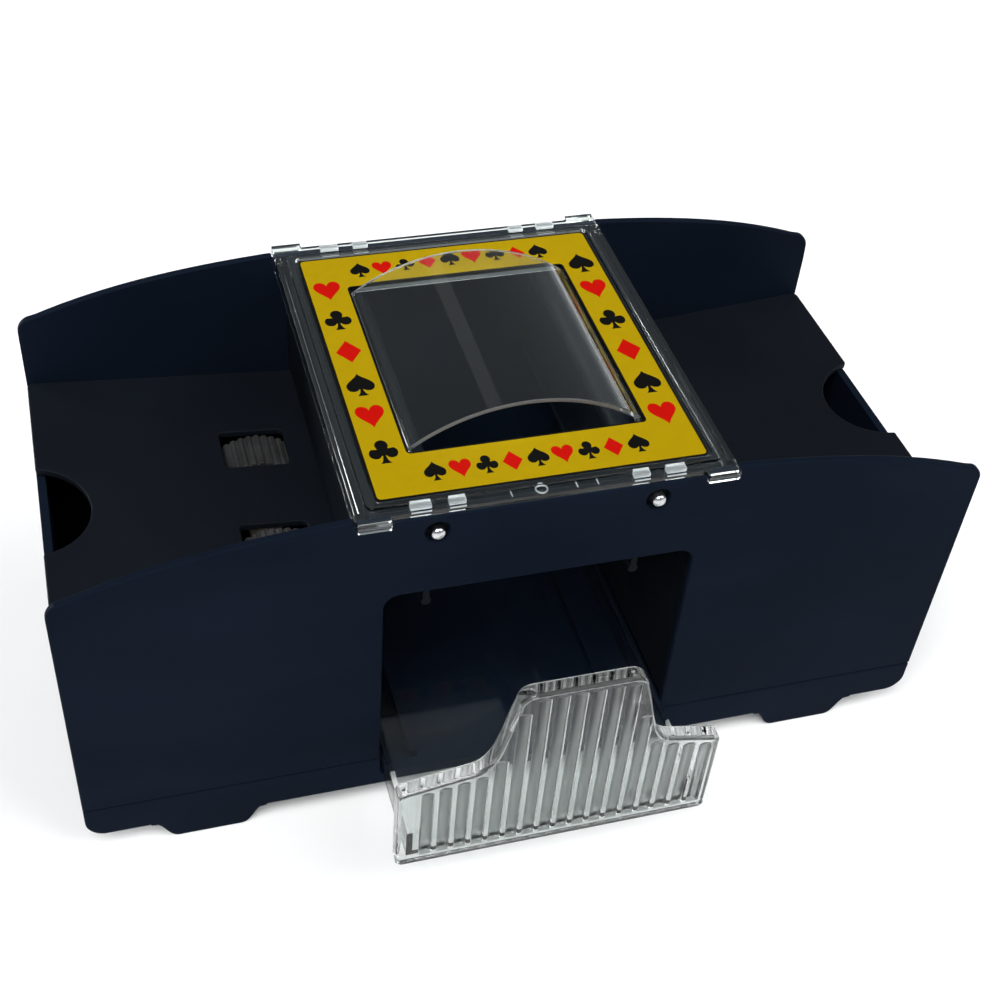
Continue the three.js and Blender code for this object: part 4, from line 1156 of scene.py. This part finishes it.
class SHUFFLER_OT_drawer(bpy.types.Operator):
    """Build the clear drawer: a fluted front with a finger tab, and a shallow open tray behind it"""

    bl_idname = "shuffler.drawer"
    bl_label = "Drawer"

    def execute(self, context):
        front, back = DRAWER_LOW.y, DRAWER_HIGH.y
        behind = front + FRONT["thick"]
        half, wall = DRAWER_TRAY["half"], DRAWER_TRAY["wall"]
        bottom, depth = DRAWER_TRAY["bottom"], DRAWER_TRAY["depth"]
        face = plate([drawer_front_outline()], "Y", front, behind)
        face = rounded(face, sizes().drawer_rounding / MM, 4, 50)
        grooves = gathered(*[flute_cutter(*flute) for flute in flutes()])
        face = combined(face, [grooves], "DIFFERENCE")
        inside = half - wall
        tray = block((-half, half), (behind - 0.5, back), (bottom, bottom + depth))
        room = block((-inside, inside), (behind - 2, back - wall), (bottom + wall, bottom + depth + 4))
        tray = combined(tray, [room], "DIFFERENCE")

        def is_rim(middle):
            return middle.z > bottom + depth - 0.5 or middle.y > back - 0.2

        tray = rounded(tray, 0.35, 2, 60, is_rim)
        whole = combined(face, [tray])
        # Flute bottoms get the second finish, darkened as painted shade. The rest of the drawer stays clear.
        for part in whole.faces:
            part.material_index = int(is_in_flute(part))
        publish(whole, "clear_drawer", "drawer", ["drawer", "flute"], ["drawer"])
        return {"FINISHED"}


# ---- Feed rollers ------------------------------------------------


def ribbed_ring(centre, inner, outer, ribs, y0, y1):
    """A rubber tyre with shallow ribs across its tread."""
    groove = outer - 0.45
    points = []
    for i in range(ribs):
        for part, radius in ((0.0, groove), (0.18, outer), (0.62, outer), (0.8, groove)):
            angle = math.tau * (i + part) / ribs
            points.append((centre[0] + radius * math.cos(angle), centre[1] + radius * math.sin(angle)))
    ring = plate([points, circle(centre, inner, 48)], "Y", y0, y1)
    return rounded(ring, 0.12, 1, 60)


def roller_hub(centre):
    """A nylon hub: a round boss with two rims that carry the tyres, dished on their faces."""
    reach = TYRE_Y + TYRE_HALF
    bore, boss, web, rim = 1.65, 4.0, 7.6, 9.0
    profile = [(bore, -reach), (boss, -reach), (boss, -reach + 0.6)]
    for end in (-1, 1):
        y0, y1 = end * TYRE_Y - TYRE_HALF, end * TYRE_Y + TYRE_HALF
        profile += [(boss, y0 + 1.2), (web, y0 + 1.2), (web, y0 + 0.1), (rim, y0 + 0.1)]
        profile += [(rim, y1 - 0.1), (web, y1 - 0.1), (web, y1 - 1.2), (boss, y1 - 1.2)]
    profile += [(boss, reach - 0.6), (boss, reach), (bore, reach), (bore, -reach)]
    return turned(profile, "Y", centre, 40)


class SHUFFLER_OT_feed_rollers(bpy.types.Operator):
    """Build the feed rollers: ribbed rubber tyres on nylon hubs, on steel shafts"""

    bl_idname = "shuffler.feed_rollers"
    bl_label = "Feed rollers"

    def execute(self, context):
        shaft = (SHAFT_HIGH.x - SHAFT_LOW.x) / 2
        profile = bar_profile(shaft, SHAFT_LOW.y, SHAFT_HIGH.y)
        for name, side in SIDES:
            centre = (side * ROLLER_X, ROLLER_Z)
            body = f"{name}_roller"
            for place, end in ENDS:
                middle = end * TYRE_Y
                tyre = ribbed_ring(centre, 9.15, TYRE_RADIUS, 40, middle - TYRE_HALF, middle + TYRE_HALF)
                piece = f"{name}_{place}_feed_tyre"
                publish(tyre, piece, body, ["rubber"], [f"{name}_{place}_tyre"])
            hub = roller_hub(centre)
            publish(hub, f"{name}_hub", body, ["nylon"], [f"{name}_roller_hub"])
            pin = turned(profile, "Y", centre, 28)
            publish(pin, f"{name}_shaft", body, ["steel"], [f"{name}_roller_shaft"])
        return {"FINISHED"}


# ---- Small parts -------------------------------------------------


def battery_door():
    """The right battery door: a plate with raised finger ribs, and two locating bars on its inside."""
    low, high = DOOR_LOW, DOOR_HIGH
    centre = ((low.x + high.x) / 2, (low.y + high.y) / 2)
    outline = rounded_rectangle((high.x - low.x) / 2, (high.y - low.y) / 2, 0.8, centre)
    sheet = rounded(plate([outline], "Z", FOOT_RISE, FOOT_RISE + 1.8), 0.3, 2, 50)
    ribs, pitch = 5, 1.9
    parts = []
    for i in range(ribs):
        y = low.y + 4.5 + i * pitch
        reach = 8 - abs(i - ribs // 2) * 0.8
        x = (centre[0] - reach, centre[0] + reach)
        parts.append(soft_block(x, (y, y + 0.9), (low.z, FOOT_RISE + 0.5), 0.2))
    for y in (low.y + 2, high.y - 3.2):
        parts.append(block((low.x + 4, high.x - 4), (y, y + 1.2), (FOOT_RISE + 1.5, high.z)))
    return combined(sheet, parts)


def cross_screw(side_x, side_y):
    """A pan-head screw with a cross recess, seen from below, and a threaded shank."""
    x, y = side_x * SCREW_X, side_y * SCREW_Y
    bottom, top = SCREW_LOW.z, SCREW_HIGH.z
    head, head_top = 3.0, bottom + 1.9
    core, crest, turns = 1.2, 1.45, 14
    profile = [(0, bottom), (1.9, bottom), (2.6, bottom + 0.25), (head, bottom + 0.9), (head, head_top)]
    profile += [(crest, head_top)]
    step = (top - 1.5 - head_top) / turns
    for i in range(turns):
        z = head_top + i * step
        profile += [(core, z + 0.25 * step), (crest, z + 0.5 * step), (core, z + 0.8 * step)]
    profile += [(core - 0.05, top - 1.4), (0, top)]
    body = turned(profile, "Z", (x, y), 28)
    long, short = 1.7, 0.38
    slots = [
        block((x - u, x + u), (y - v, y + v), (bottom - 0.2, bottom + 1.3))
        for u, v in ((long, short), (short, long))
    ]
    return combined(body, slots, "DIFFERENCE")


class SHUFFLER_OT_hatches_and_screws(bpy.types.Operator):
    """Build the battery doors and the four housing screws under the base"""

    bl_idname = "shuffler.hatches_and_screws"
    bl_label = "Battery doors and screws"

    def execute(self, context):
        for name, side in SIDES:
            door = on_side(battery_door(), side)
            publish(door, f"{name}_hatch", f"{name}_door", ["body"], [f"{name}_battery_door"])
            for place, end in ENDS:
                screw = cross_screw(side, end)
                node = f"{name}_{place}_screw"
                publish(screw, f"{name}_{place}_cross_screw", "housing", ["screw"], [node])
        return {"FINISHED"}


class SHUFFLER_OT_button(bpy.types.Operator):
    """Build the power button: a dished red cap with a rounded edge, its flange and its stem"""

    bl_idname = "shuffler.button"
    bl_label = "Power button"

    def execute(self, context):
        top, bottom = BUTTON_HIGH.y, BUTTON_LOW.y
        flange, flange_y, stem = BUTTON["flange"], 44.8, 1.3
        profile = [(0, top - 0.45), (1.6, top - 0.42), (3.0, top - 0.28), (4.0, top - 0.02)]
        profile += [(4.0 + u, top - 1.0 + v) for u, v in arc((0, 0), 1.0, 84, 0, 5)]
        profile += [(5, flange_y), (flange, flange_y), (flange, flange_y - 1.2), (stem, flange_y - 1.2)]
        profile += [(stem, bottom + 0.3), (stem - 0.3, bottom), (0, bottom)]
        cap = turned(profile, "Y", BUTTON_CENTRE, 44)
        publish(cap, "button_cap", "button", ["button"], ["power_button"])
        return {"FINISHED"}


SMOOTHED_NODES = (
    ("roller_gear", "roller", "gear_nylon", "gear_nylon"),
    ("idler_gear", "idler", "gear_nylon", "gear_nylon"),
    ("idler_pin", "housing", "steel", "steel"),
    ("motor_can", "housing", "motor_can", "motor_can"),
    ("motor_shaft", "rotor", "steel", "steel"),
    ("motor_pinion", "rotor", "gear_nylon", "gear_nylon"),
    ("gear_plate", "housing", "inner", "inner"),
    ("bearing_plate", "housing", "inner", "inner"),
    ("front_bush", "housing", "bronze", "bronze"),
    ("rear_bush", "housing", "bronze", "bronze"),
    ("battery_box", "housing", "inner", "inner"),
    ("flat_contact", "housing", "contact", "contact"),
    ("spring_contact", "housing", "contact", "contact"),
    ("motor_lead", "housing", "lead", "lead_red"),
)


class SHUFFLER_OT_drive_and_wiring(bpy.types.Operator):
    """Finish the hidden parts: gears, motors, bushes, battery boxes, contacts, leads and the switch"""

    bl_idname = "shuffler.drive_and_wiring"
    bl_label = "Drive and wiring"

    def execute(self, context):
        for name, _ in SIDES:
            for part, body, look, slot in SMOOTHED_NODES:
                node = f"{name}_{part}"
                rides_on = body if body == "housing" else f"{name}_{body}"
                smoothed(node, f"{node}_piece", rides_on, look)
        smoothed("switch_block", "switch_piece", "housing", "inner")
        spring = smoothed("button_spring", "return_spring", "housing", "steel")
        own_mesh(spring)
        return {"FINISHED"}


# ---- Stage -------------------------------------------------------


PAPER = ((0.86, 0.86, 0.86), (0.90, 0.90, 0.90))
SKY = {"colour": (0.88, 0.95, 1.0, 1), "horizon": 0.5, "overhead": 0.20, "fade_top": 0.07}
STREAK = {"width": 0.17, "length": 0.9, "power": 0.07, "place": (0.03, 1.15, 1.06), "aim": (0, 0, 0.09)}
CAMERA = {
    "lens": 54.8,
    "shift_x": 0.035,
    "place": (-0.0852, -0.24125, 0.2947),
    "right": (0.96408, -0.25994, 0.05468),
    "up": (0.13948, 0.67059, 0.72860),
}


def set_up_lamp(lamp, place, aim):
    """Puts a lamp at a place, turned towards the point that it lights."""
    thing = bpy.data.objects.new(lamp.name, lamp)
    thing.location = place
    thing.rotation_mode = "QUATERNION"
    thing.rotation_quaternion = (Vector(aim) - Vector(place)).to_track_quat("-Z", "Y")
    bpy.context.scene.collection.objects.link(thing)


def soft_lamp(name, direction, strength, spread=40):
    """A wide, even lamp far away in a direction; spread is its angular size in degrees."""
    lamp = bpy.data.lights.new(name, "SUN")
    lamp.energy = strength
    lamp.angle = math.radians(spread)
    set_up_lamp(lamp, direction, (0, 0, 0))


def streak_lamp():
    """A long narrow panel whose reflection runs along the arched window."""
    lamp = bpy.data.lights.new("streak", "AREA")
    lamp.shape = "RECTANGLE"
    lamp.size = STREAK["width"]
    lamp.size_y = STREAK["length"]
    lamp.energy = STREAK["power"]
    set_up_lamp(lamp, STREAK["place"], STREAK["aim"])


def studio_world():
    """A pale surround that is bright round the horizon and dimmer overhead."""
    world = bpy.data.worlds.new("studio")
    world.use_nodes = True
    nodes, links = world.node_tree.nodes, world.node_tree.links
    sky = nodes["Background"]
    sky.inputs["Color"].default_value = SKY["colour"]
    place = nodes.new("ShaderNodeTexCoord")
    parts = nodes.new("ShaderNodeSeparateXYZ")
    fade = nodes.new("ShaderNodeMapRange")
    fade.interpolation_type = "SMOOTHSTEP"
    set_range(fade, 0.0, SKY["fade_top"], SKY["horizon"], SKY["overhead"])
    links.new(place.outputs["Generated"], parts.inputs["Vector"])
    links.new(parts.outputs["Z"], fade.inputs["Value"])
    links.new(fade.outputs["Result"], sky.inputs["Strength"])
    return world


def paper_floor():
    """A wide sheet of pale paper under the object."""
    paper = Finish("paper floor")
    paper.shades(paper.noise(8, 3), *PAPER)
    paper.set(Roughness=0.9, Specular_IOR_Level=0.1)
    mesh = bmesh.new()
    bmesh.ops.create_grid(mesh, x_segments=1, y_segments=1, size=12)
    data = bpy.data.meshes.new("floor")
    mesh.to_mesh(data)
    mesh.free()
    data.materials.append(paper.material)
    floor = bpy.data.objects.new("floor", data)
    bpy.context.scene.collection.objects.link(floor)


def studio_camera():
    """A camera to the front left of the object and above it."""
    lens = bpy.data.cameras.new("camera")
    lens.lens = CAMERA["lens"]
    lens.shift_x = CAMERA["shift_x"]
    camera = bpy.data.objects.new("camera", lens)
    right, up = Vector(CAMERA["right"]), Vector(CAMERA["up"])
    turn = Matrix((right, up, right.cross(up))).transposed()
    camera.matrix_world = Matrix.Translation(CAMERA["place"]) @ turn.to_4x4()
    bpy.context.scene.collection.objects.link(camera)
    return camera


class SHUFFLER_OT_stage(bpy.types.Operator):
    """Build the floor, the studio light and the camera"""

    bl_idname = "shuffler.stage"
    bl_label = "Stage"

    def execute(self, context):
        scene = context.scene
        scene.view_settings.view_transform = "Standard"
        scene.world = studio_world()
        paper_floor()
        soft_lamp("key", (-0.45, -0.75, 1.4), 2.7)
        soft_lamp("fill", (0.9, -0.5, 1.1), 1.5)
        soft_lamp("back light", (-1.0, 0.8, 0.34), 1.9, 22)
        streak_lamp()
        scene.camera = studio_camera()
        return {"FINISHED"}


# ---- Panel and registration --------------------------------------

STEPS = (
    SHUFFLER_OT_housing,
    SHUFFLER_OT_base_pan,
    SHUFFLER_OT_trays,
    SHUFFLER_OT_chamber,
    SHUFFLER_OT_gates,
    SHUFFLER_OT_clear_cover,
    SHUFFLER_OT_label,
    SHUFFLER_OT_drawer,
    SHUFFLER_OT_feed_rollers,
    SHUFFLER_OT_hatches_and_screws,
    SHUFFLER_OT_button,
    SHUFFLER_OT_drive_and_wiring,
    SHUFFLER_OT_stage,
)


class SHUFFLER_PT_panel(bpy.types.Panel):
    """Lists the sizes, the colours and the steps of the card shuffler"""

    bl_idname = "SHUFFLER_PT_panel"
    bl_label = "Card shuffler"
    bl_space_type = "VIEW_3D"
    bl_region_type = "UI"
    bl_category = "Card shuffler"

    def draw(self, context):
        layout = self.layout
        for group in (context.scene.shuffler_sizes, context.scene.shuffler_colours):
            box = layout.box()
            for name in group.bl_rna.properties.keys():
                if name not in ("rna_type", "name"):
                    box.prop(group, name)
        for step in STEPS:
            layout.operator(step.bl_idname)


CLASSES = (ShufflerSizes, ShufflerColours, *STEPS, SHUFFLER_PT_panel)


def register():
    for cls in CLASSES:
        bpy.utils.register_class(cls)
    bpy.types.Scene.shuffler_sizes = bpy.props.PointerProperty(type=ShufflerSizes)
    bpy.types.Scene.shuffler_colours = bpy.props.PointerProperty(type=ShufflerColours)


def unregister():
    del bpy.types.Scene.shuffler_colours
    del bpy.types.Scene.shuffler_sizes
    for cls in reversed(CLASSES):
        bpy.utils.unregister_class(cls)


def main():
    register()
    bpy.ops.shuffler.housing()
    bpy.ops.shuffler.base_pan()
    bpy.ops.shuffler.trays()
    bpy.ops.shuffler.chamber()
    bpy.ops.shuffler.gates()
    bpy.ops.shuffler.clear_cover()
    bpy.ops.shuffler.label()
    bpy.ops.shuffler.drawer()
    bpy.ops.shuffler.feed_rollers()
    bpy.ops.shuffler.hatches_and_screws()
    bpy.ops.shuffler.button()
    bpy.ops.shuffler.drive_and_wiring()
    bpy.ops.shuffler.stage()


if __name__ == "__main__":
    main()
